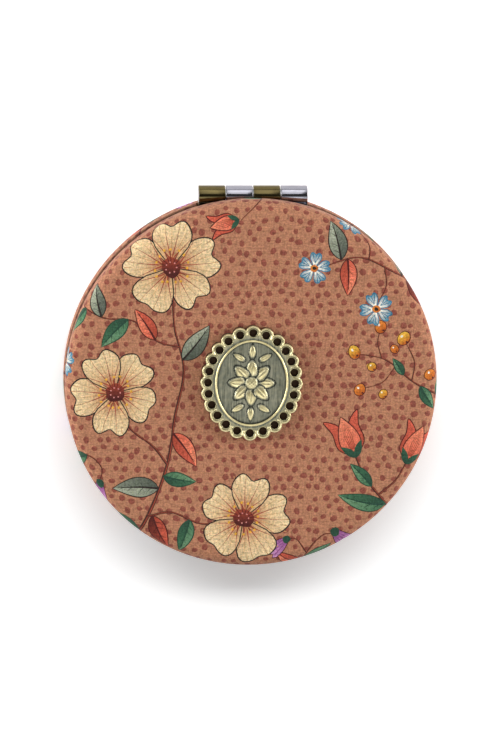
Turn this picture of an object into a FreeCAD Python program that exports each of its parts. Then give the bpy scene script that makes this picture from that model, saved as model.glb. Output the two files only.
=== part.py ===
# A round compact mirror, shut and lying on its back: two padded, cloth-covered halves on a
# rolled-knuckle hinge, with a cast oval badge on the lid. Millimetres, +Z up. The origin is the
# middle of the base's flat outer face and the hinge is on the +Y side.

import FreeCAD
import Part
import Sketcher
import os
import re

# Driving dimensions in millimetres and degrees
SIZES = {
    # Outline of a half, measured on the cloth
    "case_radius": 35.0,
    "crown_radius": 30.0,
    "crown_angle": 8.0,
    "edge_radius": 2.4,
    "rim_gap": 0.7,
    # Layers of a half, from the outer face to the parting plane
    "cover_thickness": 0.6,
    "padding_thickness": 0.8,
    "shell_floor": 1.2,
    "glass_thickness": 1.3,
    "bezel_lip": 0.4,
    "bezel_recess": 0.3,
    # Rim and mirror
    "shell_wall": 1.4,
    "bezel_skirt": 1.2,
    "bezel_overlap": 0.9,
    "fit_clearance": 0.1,
    "foam_clearance": 0.3,
    "magnifier_sag": 0.8,
    # Closure magnets, set in the mirrors' foam
    "magnet_radius": 4.0,
    "magnet_thickness": 0.8,
    "magnet_cover": 0.1,
    "magnet_margin": 3.8,
    # Hinge
    "hinge_offset": 0.2,
    "knuckle_radius": 1.85,
    "knuckle_length": 4.95,
    "knuckle_gap": 0.2,
    "knuckle_clearance": 0.3,
    "leaf_thickness": 0.7,
    "leaf_gap": 0.1,
    "seam_angle": 12.0,
    "bend_radius": 0.2,
    "tab_width": 16.0,
    "tab_length": 5.8,
    "pin_clearance": 0.05,
    "rivet_radius": 1.0,
    "rivet_head_radius": 1.7,
    "rivet_head_height": 0.5,
    "rivet_spacing": 10.0,
    # Badge
    "badge_width": 19.2,
    "badge_length": 21.9,
    "lobe_radius": 1.4,
    "eyelet_radius": 0.78,
    "badge_plate": 1.1,
    "badge_lip_height": 0.3,
    "badge_lip_width": 0.42,
    "bead_width": 0.45,
    "bead_height": 0.3,
    "field_depth": 0.25,
    "field_margin": 3.13,
    "tape_thickness": 0.2,
    "rosette_radius": 4.4,
    # Where the badge sits on the lid
    "badge_x": -0.35,
    "badge_y": 0.8,
    "badge_turn": -1.0,
}

# Sizes worked out from the driving dimensions, in the frame of one half: the outer face is at
# zero and the parting plane is at half_height
FORMULAS = {
    "floor_z": "cover_thickness + padding_thickness",
    "seat_z": "floor_z + shell_floor",
    "mirror_pad_thickness": "magnet_thickness + magnet_cover + magnifier_sag",
    "ledge_z": "seat_z + mirror_pad_thickness",
    "glass_z": "ledge_z + glass_thickness",
    "lip_z": "glass_z + bezel_lip",
    "half_height": "lip_z + bezel_recess",
    "rim_z": "half_height - rim_gap / 2",
    # Rim wall of the shell with the cloth rolled over it
    "shell_radius": "case_radius - cover_thickness",
    "wall_radius": "shell_radius - shell_wall",
    "rim_radius": "wall_radius - cover_thickness",
    "wall_round": "shell_wall / 2",
    "rim_round": "wall_round + cover_thickness",
    "rim_centre_r": "shell_radius - wall_round",
    "rim_centre_z": "rim_z - rim_round",
    "turn_in_z": "max(ledge_z; half_height - knuckle_radius)",
    # Crowned outer face and its rounded edge
    "flat_radius": "case_radius - edge_radius * (1 - sin(crown_angle)) - crown_radius * sin(crown_angle)",
    "edge_centre_r": "case_radius - edge_radius",
    "edge_centre_z": "crown_radius * (1 - cos(crown_angle)) + edge_radius * cos(crown_angle)",
    "inner_edge": "edge_radius - cover_thickness",
    "crown_end_r": "edge_centre_r + edge_radius * sin(crown_angle)",
    "crown_end_z": "edge_centre_z - edge_radius * cos(crown_angle)",
    "inner_crown_r": "edge_centre_r + inner_edge * sin(crown_angle)",
    "inner_crown_z": "edge_centre_z - inner_edge * cos(crown_angle)",
    "shell_edge_r": "edge_centre_r + sqrt(inner_edge ^ 2 - (edge_centre_z - floor_z) ^ 2)",
    # Bezel and glass
    "bezel_radius": "rim_radius - fit_clearance",
    "skirt_radius": "bezel_radius - bezel_skirt",
    "glass_radius": "skirt_radius - fit_clearance",
    "lip_radius": "glass_radius - bezel_overlap",
    "pad_radius": "skirt_radius - foam_clearance",
    "magnet_reach": "pad_radius - magnet_margin - magnet_radius",
    "magnifier_radius": "(glass_radius ^ 2 + magnifier_sag ^ 2) / (2 * magnifier_sag)",
    "back_radius": "magnifier_radius + glass_thickness",
    "magnifier_z": "glass_z + sqrt(magnifier_radius ^ 2 - glass_radius ^ 2)",
    "back_edge_z": "magnifier_z - sqrt(back_radius ^ 2 - glass_radius ^ 2)",
    "back_pad_z": "magnifier_z - sqrt(back_radius ^ 2 - pad_radius ^ 2)",
    # Hinge
    "hinge_y": "case_radius + hinge_offset",
    "bore_radius": "knuckle_radius - leaf_thickness",
    "pin_radius": "bore_radius - pin_clearance",
    "knuckle_pitch": "knuckle_length + knuckle_gap",
    "hinge_length": "4 * knuckle_length + 3 * knuckle_gap",
    "leaf_top_z": "half_height - leaf_gap / 2",
    "leaf_low_z": "leaf_top_z - leaf_thickness",
    "strip_low_z": "half_height - knuckle_radius",
    "strip_top_z": "half_height - bore_radius",
    "web_outer_y": "hinge_y - knuckle_radius - knuckle_gap",
    "web_inner_y": "rim_radius",
    "drop_inner_y": "glass_radius + 1.5 * fit_clearance",
    "drop_outer_y": "drop_inner_y + leaf_thickness",
    "flange_top_z": "seat_z + leaf_thickness",
    "bend_outer": "bend_radius + leaf_thickness",
    "tab_end_y": "drop_inner_y - tab_length",
    "rivet_y": "drop_inner_y - tab_length / 2",
    "tail_radius": "1.4 * rivet_radius",
    # Badge
    "lobe_a": "badge_width / 2 - lobe_radius",
    "lobe_b": "badge_length / 2 - lobe_radius",
    "field_a": "badge_width / 2 - field_margin",
    "field_b": "badge_length / 2 - field_margin",
    "tape_z": "2 * half_height",
    "badge_z": "tape_z + tape_thickness",
    "plate_z": "badge_z + badge_plate",
    "badge_lip_z": "plate_z + badge_lip_height",
    "field_z": "plate_z - field_depth",
}

LOBES = 24
PETALS = 8

doc = FreeCAD.newDocument("compact")
sheet = doc.addObject("Spreadsheet::Sheet", "sizes")
for row, (name, value) in enumerate(SIZES.items(), start=1):
    sheet.set(f"A{row}", name)
    sheet.set(f"B{row}", str(value))
    sheet.setAlias(f"B{row}", name)
doc.recompute()


def expand(text):
    """Writes a formula out in cells of the sheet."""
    def word(match):
        name = match.group(0)
        if name in FORMULAS:
            return "(" + expand(FORMULAS[name]) + ")"
        return "sizes." + name if name in SIZES else name
    return re.sub(r"[a-z_]+", word, str(text))


def value(text):
    return float(sheet.evalExpression(expand(text)))


def bind(item, field, text):
    item.setExpression(field, expand(text))


def point(x, y):
    return FreeCAD.Vector(value(x), value(y), 0)


def new_body(name):
    body = doc.addObject("PartDesign::Body", name)
    body.Label = name
    return body


def origin(body, role):
    return next(item for item in body.Origin.OriginFeatures if item.Role == role)


def new_sketch(body, plane, height="0"):
    """A sketch on one of the body's own planes, moved along that plane's normal."""
    sketch = body.newObject("Sketcher::SketchObject", body.Name + "_sketch")
    sketch.AttachmentSupport = [(origin(body, plane), "")]
    sketch.MapMode = "FlatFace"
    bind(sketch, "AttachmentOffset.Base.z", height)
    return sketch


def dimension(sketch, kind, text, *where):
    index = sketch.addConstraint(Sketcher.Constraint(kind, *where, value(text)))
    bind(sketch, f"Constraints[{index}]", text)


def locate(sketch, edge, spot, x, y):
    dimension(sketch, "DistanceX", x, -1, 1, edge, spot)
    dimension(sketch, "DistanceY", y, -1, 1, edge, spot)


def draw(sketch, corners):
    """Draws a closed outline. A corner is (x, y), or (x, y, (centre x, centre y), turn) where an
    arc leads to it; turn is +1 for a counterclockwise arc and -1 for a clockwise one."""
    edges = []
    for index, corner in enumerate(corners):
        start, end = point(*corners[index - 1][:2]), point(*corner[:2])
        if len(corner) == 2:
            edges.append((sketch.addGeometry(Part.LineSegment(start, end)), 1, 2))
            continue
        centre, turn = point(*corner[2]), corner[3]
        first, last = (start, end) if turn > 0 else (end, start)
        circle = Part.Circle(centre, FreeCAD.Vector(0, 0, 1), (start - centre).Length)
        arc = Part.ArcOfCircle(circle, circle.parameter(first), circle.parameter(last))
        number = sketch.addGeometry(arc)
        edges.append((number, 1, 2) if turn > 0 else (number, 2, 1))
        if abs(end.y - start.y) > abs(end.x - start.x):
            dimension(sketch, "DistanceX", corner[2][0], -1, 1, number, 3)
        else:
            dimension(sketch, "DistanceY", corner[2][1], -1, 1, number, 3)
    for index, corner in enumerate(corners):
        number, _, end = edges[index]
        following, start, _ = edges[(index + 1) % len(edges)]
        sketch.addConstraint(Sketcher.Constraint("Coincident", number, end, following, start))
        locate(sketch, number, end, *corner[:2])


def box(low_x, low_y, high_x, high_y):
    return [(low_x, low_y), (high_x, low_y), (high_x, high_y), (low_x, high_y)]


def circles(sketch, radius, centres):
    for x, y in centres:
        circle = Part.Circle(point(x, y), FreeCAD.Vector(0, 0, 1), value(radius))
        number = sketch.addGeometry(circle)
        dimension(sketch, "Radius", radius, number)
        locate(sketch, number, 3, x, y)


def ellipse(sketch, half_x, half_y):
    """An ellipse round the sketch's origin, with its axes along x and y."""
    upright = value(half_y) >= value(half_x)
    long_half, short_half = (half_y, half_x) if upright else (half_x, half_y)
    ends = [point("0", half_y), point(half_x, "0")]
    long_end, short_end = ends if upright else ends[::-1]
    number = sketch.addGeometry(Part.Ellipse(long_end, short_end, FreeCAD.Vector(0, 0, 0)))
    sketch.exposeInternalGeometry(number)
    sketch.addConstraint(Sketcher.Constraint("Coincident", number, 3, -1, 1))
    long_axis, short_axis = number + 1, number + 2
    sketch.addConstraint(Sketcher.Constraint("Vertical" if upright else "Horizontal", long_axis))
    dimension(sketch, "Distance", f"2 * ({long_half})", long_axis)
    dimension(sketch, "Distance", f"2 * ({short_half})", short_axis)


def revolve(body, corners):
    """Turns an outline drawn in the radius-height plane about the vertical axis."""
    sketch = new_sketch(body, "XZ_Plane")
    draw(sketch, corners)
    turned = body.newObject("PartDesign::Revolution", body.Name + "_turned")
    turned.Profile = sketch
    turned.ReferenceAxis = (sketch, ["V_Axis"])
    turned.Angle = 360
    doc.recompute()
    return turned


def pad(body, sketch, length, symmetric=False):
    added = body.newObject("PartDesign::Pad", body.Name + "_pad")
    added.Profile = sketch
    added.SideType = "Symmetric" if symmetric else "One side"
    bind(added, "Length", length)
    doc.recompute()
    return added


def pocket(body, sketch, length, symmetric=False, upward=False):
    before = body.Shape.Volume
    removed = body.newObject("PartDesign::Pocket", body.Name + "_pocket")
    removed.Profile = sketch
    removed.SideType = "Symmetric" if symmetric else "One side"
    removed.Reversed = upward
    bind(removed, "Length", length)
    doc.recompute()
    if not body.Shape.Volume < before - 1e-6:
        raise RuntimeError(body.Label + ": a pocket removes nothing")
    return removed


def across(body, corners, width):
    """Cuts a side-view outline through the body, centred on the hinge's length."""
    sketch = new_sketch(body, "YZ_Plane")
    draw(sketch, corners)
    return pocket(body, sketch, width, symmetric=True)


def place(body, on_lid):
    """A lid piece is a base piece turned over about the Y axis."""
    if on_lid:
        body.Placement = FreeCAD.Placement(FreeCAD.Vector(), FreeCAD.Rotation(FreeCAD.Vector(0, 1, 0), 180))
        bind(body, "Placement.Base.z", "2 * half_height")


def hinge_window(body):
    """Opens the rim for the hinge: a flat-bottomed window and a scoop concentric with the barrel."""
    width = "hinge_length + 2 * knuckle_clearance"
    across(body, box("tab_end_y", "strip_low_z", "hinge_y", "half_height"), width)
    sketch = new_sketch(body, "YZ_Plane")
    circles(sketch, "knuckle_radius + knuckle_clearance", [("hinge_y", "half_height")])
    pocket(body, sketch, width, symmetric=True)


# Outer face of the cloth and, one thickness inside it, the face of the padding and shell
def cover(name, on_lid):
    body = new_body(name)
    rim_centre = ("rim_centre_r", "rim_centre_z")
    edge_centre = ("edge_centre_r", "edge_centre_z")
    crown_centre = ("flat_radius", "crown_radius")
    revolve(body, [
        ("0", "0"),
        ("flat_radius", "0"),
        ("crown_end_r", "crown_end_z", crown_centre, 1),
        ("case_radius", "edge_centre_z", edge_centre, 1),
        ("case_radius", "rim_centre_z"),
        ("rim_centre_r", "rim_z", rim_centre, 1),
        ("rim_radius", "rim_centre_z", rim_centre, 1),
        ("rim_radius", "turn_in_z"),
        ("wall_radius", "turn_in_z"),
        ("wall_radius", "rim_centre_z"),
        ("rim_centre_r", "rim_z - cover_thickness", rim_centre, -1),
        ("shell_radius", "rim_centre_z", rim_centre, -1),
        ("shell_radius", "edge_centre_z"),
        ("inner_crown_r", "inner_crown_z", edge_centre, -1),
        ("flat_radius", "cover_thickness", crown_centre, -1),
        ("0", "cover_thickness"),
    ])
    hinge_window(body)
    place(body, on_lid)


# Foam between the cloth and the shell, skived to nothing at the shell's edge
def padding(name, on_lid):
    body = new_body(name)
    revolve(body, [
        ("0", "cover_thickness"),
        ("flat_radius", "cover_thickness"),
        ("inner_crown_r", "inner_crown_z", ("flat_radius", "crown_radius"), 1),
        ("inner_crown_r", "floor_z"),
        ("0", "floor_z"),
    ])
    place(body, on_lid)


# Moulded dish with a ledge for the bezel, a window and pocket for the hinge and two rivet holes
def shell(name, on_lid):
    body = new_body(name)
    rim_centre = ("rim_centre_r", "rim_centre_z")
    revolve(body, [
        ("0", "floor_z"),
        ("shell_edge_r", "floor_z"),
        ("shell_radius", "edge_centre_z", ("edge_centre_r", "edge_centre_z"), 1),
        ("shell_radius", "rim_centre_z"),
        ("rim_centre_r", "rim_z - cover_thickness", rim_centre, 1),
        ("wall_radius", "rim_centre_z", rim_centre, 1),
        ("wall_radius", "ledge_z"),
        ("skirt_radius", "ledge_z"),
        ("skirt_radius", "seat_z"),
        ("0", "seat_z"),
    ])
    hinge_window(body)
    across(body, box("tab_end_y", "seat_z", "drop_outer_y + fit_clearance", "half_height"),
           "tab_width + 4 * fit_clearance")
    holes = [("rivet_spacing / 2", "rivet_y"), ("-rivet_spacing / 2", "rivet_y")]
    sketch = new_sketch(body, "XY_Plane", "floor_z")
    circles(sketch, "rivet_radius + pin_clearance", holes)
    pocket(body, sketch, "shell_floor", upward=True)
    sketch = new_sketch(body, "XY_Plane", "floor_z")
    circles(sketch, "tail_radius + pin_clearance", holes)
    pocket(body, sketch, "shell_floor / 3 + pin_clearance", upward=True)
    place(body, on_lid)


# Foam bed of a mirror; under the magnifier its top is dished to the back of the glass
def mirror_pad(name, on_lid, dished):
    body = new_body(name)
    top = [("pad_radius", "ledge_z"), ("0", "ledge_z")]
    if dished:
        top = [("pad_radius", "back_pad_z"), ("0", "magnifier_z - back_radius", ("0", "magnifier_z"), -1)]
    revolve(body, [("0", "seat_z"), ("pad_radius", "seat_z")] + top)
    across(body, box("tab_end_y - foam_clearance", "seat_z", "case_radius", "half_height"),
           "tab_width + 2 * foam_clearance")
    sketch = new_sketch(body, "XY_Plane", "seat_z")
    circles(sketch, "magnet_radius + foam_clearance", [("0", "-magnet_reach")])
    pocket(body, sketch, "mirror_pad_thickness", upward=True)
    place(body, on_lid)


def mirror(name, on_lid, dished):
    body = new_body(name)
    if dished:
        centre = ("0", "magnifier_z")
        revolve(body, [
            ("0", "magnifier_z - back_radius"),
            ("glass_radius", "back_edge_z", centre, 1),
            ("glass_radius", "glass_z"),
            ("0", "magnifier_z - magnifier_radius", centre, -1),
        ])
    else:
        revolve(body, box("0", "ledge_z", "glass_radius", "glass_z"))
    place(body, on_lid)


# Trim ring over the glass; its skirt stands on the shell's ledge and is notched for the hinge tab
def bezel(name, on_lid):
    body = new_body(name)
    revolve(body, [
        ("skirt_radius", "ledge_z"),
        ("bezel_radius", "ledge_z"),
        ("bezel_radius", "lip_z - bezel_lip / 2"),
        ("bezel_radius - bezel_lip / 2", "lip_z", ("bezel_radius - bezel_lip / 2", "lip_z - bezel_lip / 2"), 1),
        ("lip_radius + bezel_lip", "lip_z"),
        ("lip_radius", "glass_z + bezel_lip / 4"),
        ("lip_radius", "glass_z"),
        ("skirt_radius", "glass_z"),
    ])
    across(body, box("tab_end_y", "seat_z", "case_radius", "strip_top_z + 1.5 * fit_clearance"),
           "tab_width + 4 * fit_clearance")
    place(body, on_lid)


def magnet(name, on_lid):
    body = new_body(name)
    sketch = new_sketch(body, "XY_Plane", "seat_z")
    circles(sketch, "magnet_radius", [("0", "-magnet_reach")])
    pad(body, sketch, "magnet_thickness")
    place(body, on_lid)


# Hinge leaf: two rolled knuckles on a pressed step, and a tab joggled down to the shell's floor. The two
# leaves are the same piece; turned over, the knuckles of one fall between those of the other.
def hinge_leaf(name, on_lid):
    body = new_body(name)
    axis = ("hinge_y", "half_height")
    seam = "180 - seam_angle"
    sketch = new_sketch(body, "YZ_Plane", "-1.5 * knuckle_pitch")
    draw(sketch, [
        ("web_outer_y", "leaf_low_z"),
        ("hinge_y - sqrt(knuckle_radius ^ 2 - (half_height - leaf_low_z) ^ 2)", "leaf_low_z"),
        ("hinge_y", "half_height - knuckle_radius", axis, 1),
        ("hinge_y", "half_height + knuckle_radius", axis, 1),
        (f"hinge_y + knuckle_radius * cos({seam})", f"half_height + knuckle_radius * sin({seam})", axis, 1),
        (f"hinge_y + bore_radius * cos({seam})", f"half_height + bore_radius * sin({seam})"),
        ("hinge_y", "half_height + bore_radius", axis, -1),
        ("hinge_y", "half_height - bore_radius", axis, -1),
        ("hinge_y - sqrt(bore_radius ^ 2 - (half_height - leaf_top_z) ^ 2)", "leaf_top_z", axis, -1),
        ("web_outer_y", "leaf_top_z"),
    ])
    knuckle = pad(body, sketch, "knuckle_length", symmetric=True)
    sketch = new_sketch(body, "YZ_Plane")
    draw(sketch, box("web_inner_y", "strip_low_z", "web_outer_y", "leaf_top_z"))
    pad(body, sketch, "hinge_length", symmetric=True)
    second = body.newObject("PartDesign::LinearPattern", name + "_second_knuckle")
    second.Originals = [knuckle]
    second.Direction = (origin(body, "X_Axis"), [""])
    bind(second, "Length", "2 * knuckle_pitch")
    second.Occurrences = 2
    body.Tip = second
    doc.recompute()
    high = ("drop_outer_y + bend_radius", "strip_low_z - bend_radius")
    low = ("drop_inner_y - bend_radius", "flange_top_z + bend_radius")
    sketch = new_sketch(body, "YZ_Plane")
    draw(sketch, [
        ("web_inner_y", "strip_low_z"),
        ("web_inner_y", "strip_top_z"),
        ("drop_inner_y + bend_outer", "strip_top_z"),
        ("drop_inner_y", "strip_top_z - bend_outer", high, 1),
        ("drop_inner_y", "flange_top_z + bend_radius"),
        ("drop_inner_y - bend_radius", "flange_top_z", low, -1),
        ("tab_end_y", "flange_top_z"),
        ("tab_end_y", "seat_z"),
        ("drop_outer_y - bend_outer", "seat_z"),
        ("drop_outer_y", "seat_z + bend_outer", low, 1),
        ("drop_outer_y", "strip_low_z - bend_radius"),
        ("drop_outer_y + bend_radius", "strip_low_z", high, -1),
    ])
    pad(body, sketch, "tab_width", symmetric=True)
    sketch = new_sketch(body, "XY_Plane", "seat_z")
    circles(sketch, "rivet_radius + pin_clearance",
            [("rivet_spacing / 2", "rivet_y"), ("-rivet_spacing / 2", "rivet_y")])
    pocket(body, sketch, "leaf_thickness", upward=True)
    place(body, on_lid)


# The two rivets of a leaf: low round heads on the leaf, tails set flush in the shell's floor
def leaf_rivets(name, on_lid):
    single = new_body(name + "_single")
    revolve(single, [
        ("0", "floor_z"),
        ("tail_radius", "floor_z"),
        ("tail_radius", "floor_z + shell_floor / 3"),
        ("rivet_radius", "floor_z + shell_floor / 3"),
        ("rivet_radius", "flange_top_z"),
        ("rivet_head_radius", "flange_top_z"),
        ("rivet_head_radius", "flange_top_z + rivet_head_height / 2"),
        ("rivet_head_radius - rivet_head_height / 2", "flange_top_z + rivet_head_height",
         ("rivet_head_radius - rivet_head_height / 2", "flange_top_z + rivet_head_height / 2"), 1),
        ("0", "flange_top_z + rivet_head_height"),
    ])
    bind(single, "Placement.Base.x", "rivet_spacing / 2")
    bind(single, "Placement.Base.y", "rivet_y")
    other = doc.addObject("Part::Mirroring", name + "_other")
    other.Source = single
    other.Normal = FreeCAD.Vector(1, 0, 0)
    pair = doc.addObject("Part::Compound", name)
    pair.Label = name
    pair.Links = [single, other]
    doc.recompute()
    place(pair, on_lid)


def pin():
    body = new_body("hinge_pin")
    sketch = new_sketch(body, "YZ_Plane")
    circles(sketch, "pin_radius", [("hinge_y", "half_height")])
    pad(body, sketch, "hinge_length", symmetric=True)


def lobe_spots(first, step):
    """Centres of the badge's edge lobes, at equal angles round an oval."""
    spots = []
    for index in range(first, LOBES, step):
        angle = index * 360 / LOBES
        reach = f"lobe_a * lobe_b / sqrt((lobe_b * cos({angle})) ^ 2 + (lobe_a * sin({angle})) ^ 2)"
        spots.append((f"{reach} * cos({angle})", f"{reach} * sin({angle})"))
    return spots


def ornament(body, half_length, half_width, half_depth, reach, angle, lean=0.0):
    """A domed leaf or petal lying on the badge's field, pointing away from its middle."""
    bump = body.newObject("PartDesign::AdditiveEllipsoid", body.Name + "_ornament")
    bind(bump, "Radius1", half_depth)
    bind(bump, "Radius2", half_length)
    bind(bump, "Radius3", half_width)
    bump.Angle1, bump.Angle2, bump.Angle3 = -90, 90, 360
    bump.AttachmentSupport = [(origin(body, "XY_Plane"), "")]
    bump.MapMode = "FlatFace"
    bump.AttachmentOffset = FreeCAD.Placement(
        FreeCAD.Vector(), FreeCAD.Rotation(FreeCAD.Vector(0, 0, 1), angle + lean))
    bind(bump, "AttachmentOffset.Base.x", f"({reach}) * cos({angle})")
    bind(bump, "AttachmentOffset.Base.y", f"({reach}) * sin({angle})")
    bind(bump, "AttachmentOffset.Base.z", "field_z")
    doc.recompute()
    return bump


def seat_badge(body):
    """Sets the badge and its tape where they lie on the lid."""
    body.Placement = FreeCAD.Placement(
        FreeCAD.Vector(), FreeCAD.Rotation(FreeCAD.Vector(0, 0, 1), value("badge_turn")))
    bind(body, "Placement.Base.x", "badge_x")
    bind(body, "Placement.Base.y", "badge_y")


# Cast badge: an oval plate with a scalloped, pierced edge, a bead round a sunk field and a rosette
def badge():
    body = new_body("badge")

    def layer(height, *outlines):
        sketch = new_sketch(body, "XY_Plane", height)
        for shape, arguments in outlines:
            shape(sketch, *arguments)
        return sketch

    pad(body, layer("badge_z", (ellipse, ("lobe_a", "lobe_b"))), "badge_plate + badge_lip_height")
    for first in (0, 1):
        pad(body, layer("badge_z", (circles, ("lobe_radius", lobe_spots(first, 2)))),
            "badge_plate + badge_lip_height")
    pocket(body, layer("badge_lip_z", (ellipse, ("lobe_a", "lobe_b"))), "badge_lip_height")
    for first in (0, 1):
        pocket(body, layer("badge_lip_z", (circles, ("lobe_radius - badge_lip_width", lobe_spots(first, 2)))),
               "badge_lip_height")
    pocket(body, layer("badge_z", (circles, ("eyelet_radius", lobe_spots(0, 1)))),
           "badge_plate", upward=True)
    pad(body, layer("plate_z", (ellipse, ("field_a + bead_width", "field_b + bead_width")),
                    (ellipse, ("field_a", "field_b"))), "bead_height")
    pocket(body, layer("plate_z", (ellipse, ("field_a", "field_b"))), "field_depth")
    petal = ornament(body, "rosette_radius * 0.36", "rosette_radius * 0.23", "field_depth * 1.6",
                     "rosette_radius * 0.62", 0)
    ring = body.newObject("PartDesign::PolarPattern", "badge_petals")
    ring.Originals = [petal]
    ring.Axis = (origin(body, "Z_Axis"), [""])
    ring.Angle = 360
    ring.Occurrences = PETALS
    body.Tip = ring
    doc.recompute()
    ornament(body, "rosette_radius * 0.28", "rosette_radius * 0.28", "field_depth * 2.2", "0", 0)
    for angle in (90, 270):
        ornament(body, "field_b * 0.16", "field_b * 0.075", "field_depth * 1.4", "field_b * 0.77", angle)
        for side in (-27, 27):
            ornament(body, "field_b * 0.155", "field_b * 0.07", "field_depth * 1.3", "field_b * 0.7",
                     angle + side, side * 1.2)
    seat_badge(body)


# Tape oval; it reaches under the eyelets, so that they show dark
def badge_tape():
    body = new_body("badge_tape")
    sketch = new_sketch(body, "XY_Plane", "tape_z")
    ellipse(sketch, "lobe_a + lobe_radius * 0.5", "lobe_b + lobe_radius * 0.5")
    pad(body, sketch, "tape_thickness")
    seat_badge(body)


NODES = []
for half, on_lid in (("base", False), ("lid", True)):
    for piece, build in (("cover", cover), ("padding", padding), ("shell", shell), ("bezel", bezel),
                         ("magnet", magnet), ("hinge_leaf", hinge_leaf), ("leaf_rivets", leaf_rivets)):
        build(f"{half}_{piece}", on_lid)
        NODES.append(f"{half}_{piece}")
    for piece, build in (("mirror_pad", mirror_pad), ("mirror", mirror)):
        build(f"{half}_{piece}", on_lid, dished=not on_lid)
        NODES.append(f"{half}_{piece}")
pin()
badge_tape()
badge()
NODES += ["hinge_pin", "badge_tape", "badge"]

doc.recompute()
for item in doc.Objects:
    if "Invalid" in item.State or "Error" in item.State:
        raise RuntimeError(f"{item.Label}: {item.State}")

os.makedirs("parts", exist_ok=True)
for node in NODES:
    shape = doc.getObjectsByLabel(node)[0].Shape
    if shape.isNull() or not shape.isValid() or not shape.Solids:
        raise RuntimeError(node + ": no valid solid")
    shape.exportStep(f"parts/{node}.step")
    print(node, len(shape.Solids), round(shape.Volume, 2))
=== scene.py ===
import math
import random

import bmesh
import bpy
import numpy as np
from mathutils import Matrix, Vector
from mathutils.geometry import delaunay_2d_cdt


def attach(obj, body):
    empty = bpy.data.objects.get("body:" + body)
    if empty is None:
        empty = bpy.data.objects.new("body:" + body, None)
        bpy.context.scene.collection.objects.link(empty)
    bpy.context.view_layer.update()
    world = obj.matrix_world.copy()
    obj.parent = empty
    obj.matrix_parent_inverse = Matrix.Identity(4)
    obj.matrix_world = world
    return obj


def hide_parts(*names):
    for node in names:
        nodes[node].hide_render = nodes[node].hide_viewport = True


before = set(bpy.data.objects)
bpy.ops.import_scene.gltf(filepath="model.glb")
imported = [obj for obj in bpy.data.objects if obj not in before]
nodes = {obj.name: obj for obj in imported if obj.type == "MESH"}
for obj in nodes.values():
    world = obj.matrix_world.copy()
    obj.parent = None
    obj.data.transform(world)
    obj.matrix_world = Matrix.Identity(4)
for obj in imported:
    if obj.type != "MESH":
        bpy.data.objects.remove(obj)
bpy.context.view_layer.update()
scene = bpy.context.scene
mm = 0.001  # lengths below are in millimetres unless a name says otherwise
fullTurn = 2 * math.pi
tiny = 1e-6  # keeps divisors off zero
snap = 1e-5  # flat points nearer than this are one
leastArea = 1e-9  # of a flat triangle, doubled
slack = 1e-3  # for telling which side of an opening a point is on
white = (1, 1, 1, 1)


def toLinear(hexColour):
    channels = [int(hexColour[i:i + 2], 16) / 255 for i in (1, 3, 5)]
    return tuple(c / 12.92 if c <= 0.04045 else ((c + 0.055) / 1.055) ** 2.4 for c in channels) + (1.0,)


def polar(reach, angle):
    return np.stack((reach * np.cos(angle), reach * np.sin(angle)), -1)


def heading(reach, degrees):
    return polar(reach, math.radians(degrees))


# On the flat cloth and round the case, angles start at the hinge
def fromHinge(reach, angle):
    return polar(reach, angle)[..., ::-1]


# Even steps along each run in turn, given as start, end and count; a joint is taken once
def chain(*runs):
    return np.concatenate([np.linspace(*run)[min(i, 1):] for i, run in enumerate(runs)])


def smoothStep(t):
    t = np.clip(t, 0, 1)
    return t * t * (3 - 2 * t)


# Nodes: each of these adds one node to a tree and gives back one of its outputs
def addNode(tree, kind, inputs=None, out=0, **settings):
    node = tree.nodes.new(kind)
    for name, value in settings.items():
        setattr(node, name, value)
    for socket, value in (inputs or {}).items():
        if isinstance(value, bpy.types.NodeSocket):
            tree.links.new(value, node.inputs[socket])
        else:
            node.inputs[socket].default_value = value
    return node.outputs[out] if len(node.outputs) else None


def maths(tree, operation, *values, **settings):
    return addNode(tree, "ShaderNodeMath", dict(enumerate(values)), operation=operation, **settings)


def vectorMaths(tree, operation, *values, out="Vector"):
    return addNode(tree, "ShaderNodeVectorMath", dict(enumerate(values)), out, operation=operation)


def scaled(tree, colour, factor):
    return addNode(tree, "ShaderNodeVectorMath", {0: colour, "Scale": factor}, operation="SCALE")


def objectSpot(tree):
    return addNode(tree, "ShaderNodeTexCoord", out="Object")


def noise(tree, vector, scale, detail, roughness=0.5, out="Fac"):
    inputs = {"Vector": vector, "Scale": scale, "Detail": detail, "Roughness": roughness}
    return addNode(tree, "ShaderNodeTexNoise", inputs, out)


def stretched(tree, vector, scale, turn=0.0):
    return addNode(tree, "ShaderNodeMapping", {"Vector": vector, "Rotation": (0, 0, turn), "Scale": scale})


def span(tree, value, start=0.0, end=1.0, low=0.0, high=1.0, **settings):
    inputs = {"Value": value, "From Min": start, "From Max": end, "To Min": low, "To Max": high}
    return addNode(tree, "ShaderNodeMapRange", inputs, **settings)


def ramp(tree, value, *marks):
    colour = addNode(tree, "ShaderNodeValToRGB", {0: value})
    elements = colour.node.color_ramp.elements
    while len(elements) < len(marks):
        elements.new(1.0)
    for element, (position, tone) in zip(elements, marks):
        element.position, element.color = position, toLinear(tone)
    return colour


def blend(tree, share, first, second, **settings):
    return addNode(tree, "ShaderNodeMix", {0: share, 6: first, 7: second}, 2, data_type="RGBA", **settings)


def bump(tree, height, strength, depth, **settings):
    inputs = {"Strength": strength, "Distance": depth * mm, "Height": height}
    return addNode(tree, "ShaderNodeBump", inputs, **settings)


def startMaterial(name):
    material = bpy.data.materials.new(name)
    material.use_nodes = True
    material.node_tree.nodes.clear()
    return material, material.node_tree


def shaded(material, inputs):
    surface = addNode(material.node_tree, "ShaderNodeBsdfPrincipled", inputs)
    addNode(material.node_tree, "ShaderNodeOutputMaterial", {"Surface": surface})
    return material


# Pieces
def link(name, data):
    piece = bpy.data.objects.new(name, data)
    scene.collection.objects.link(piece)
    return piece


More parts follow.
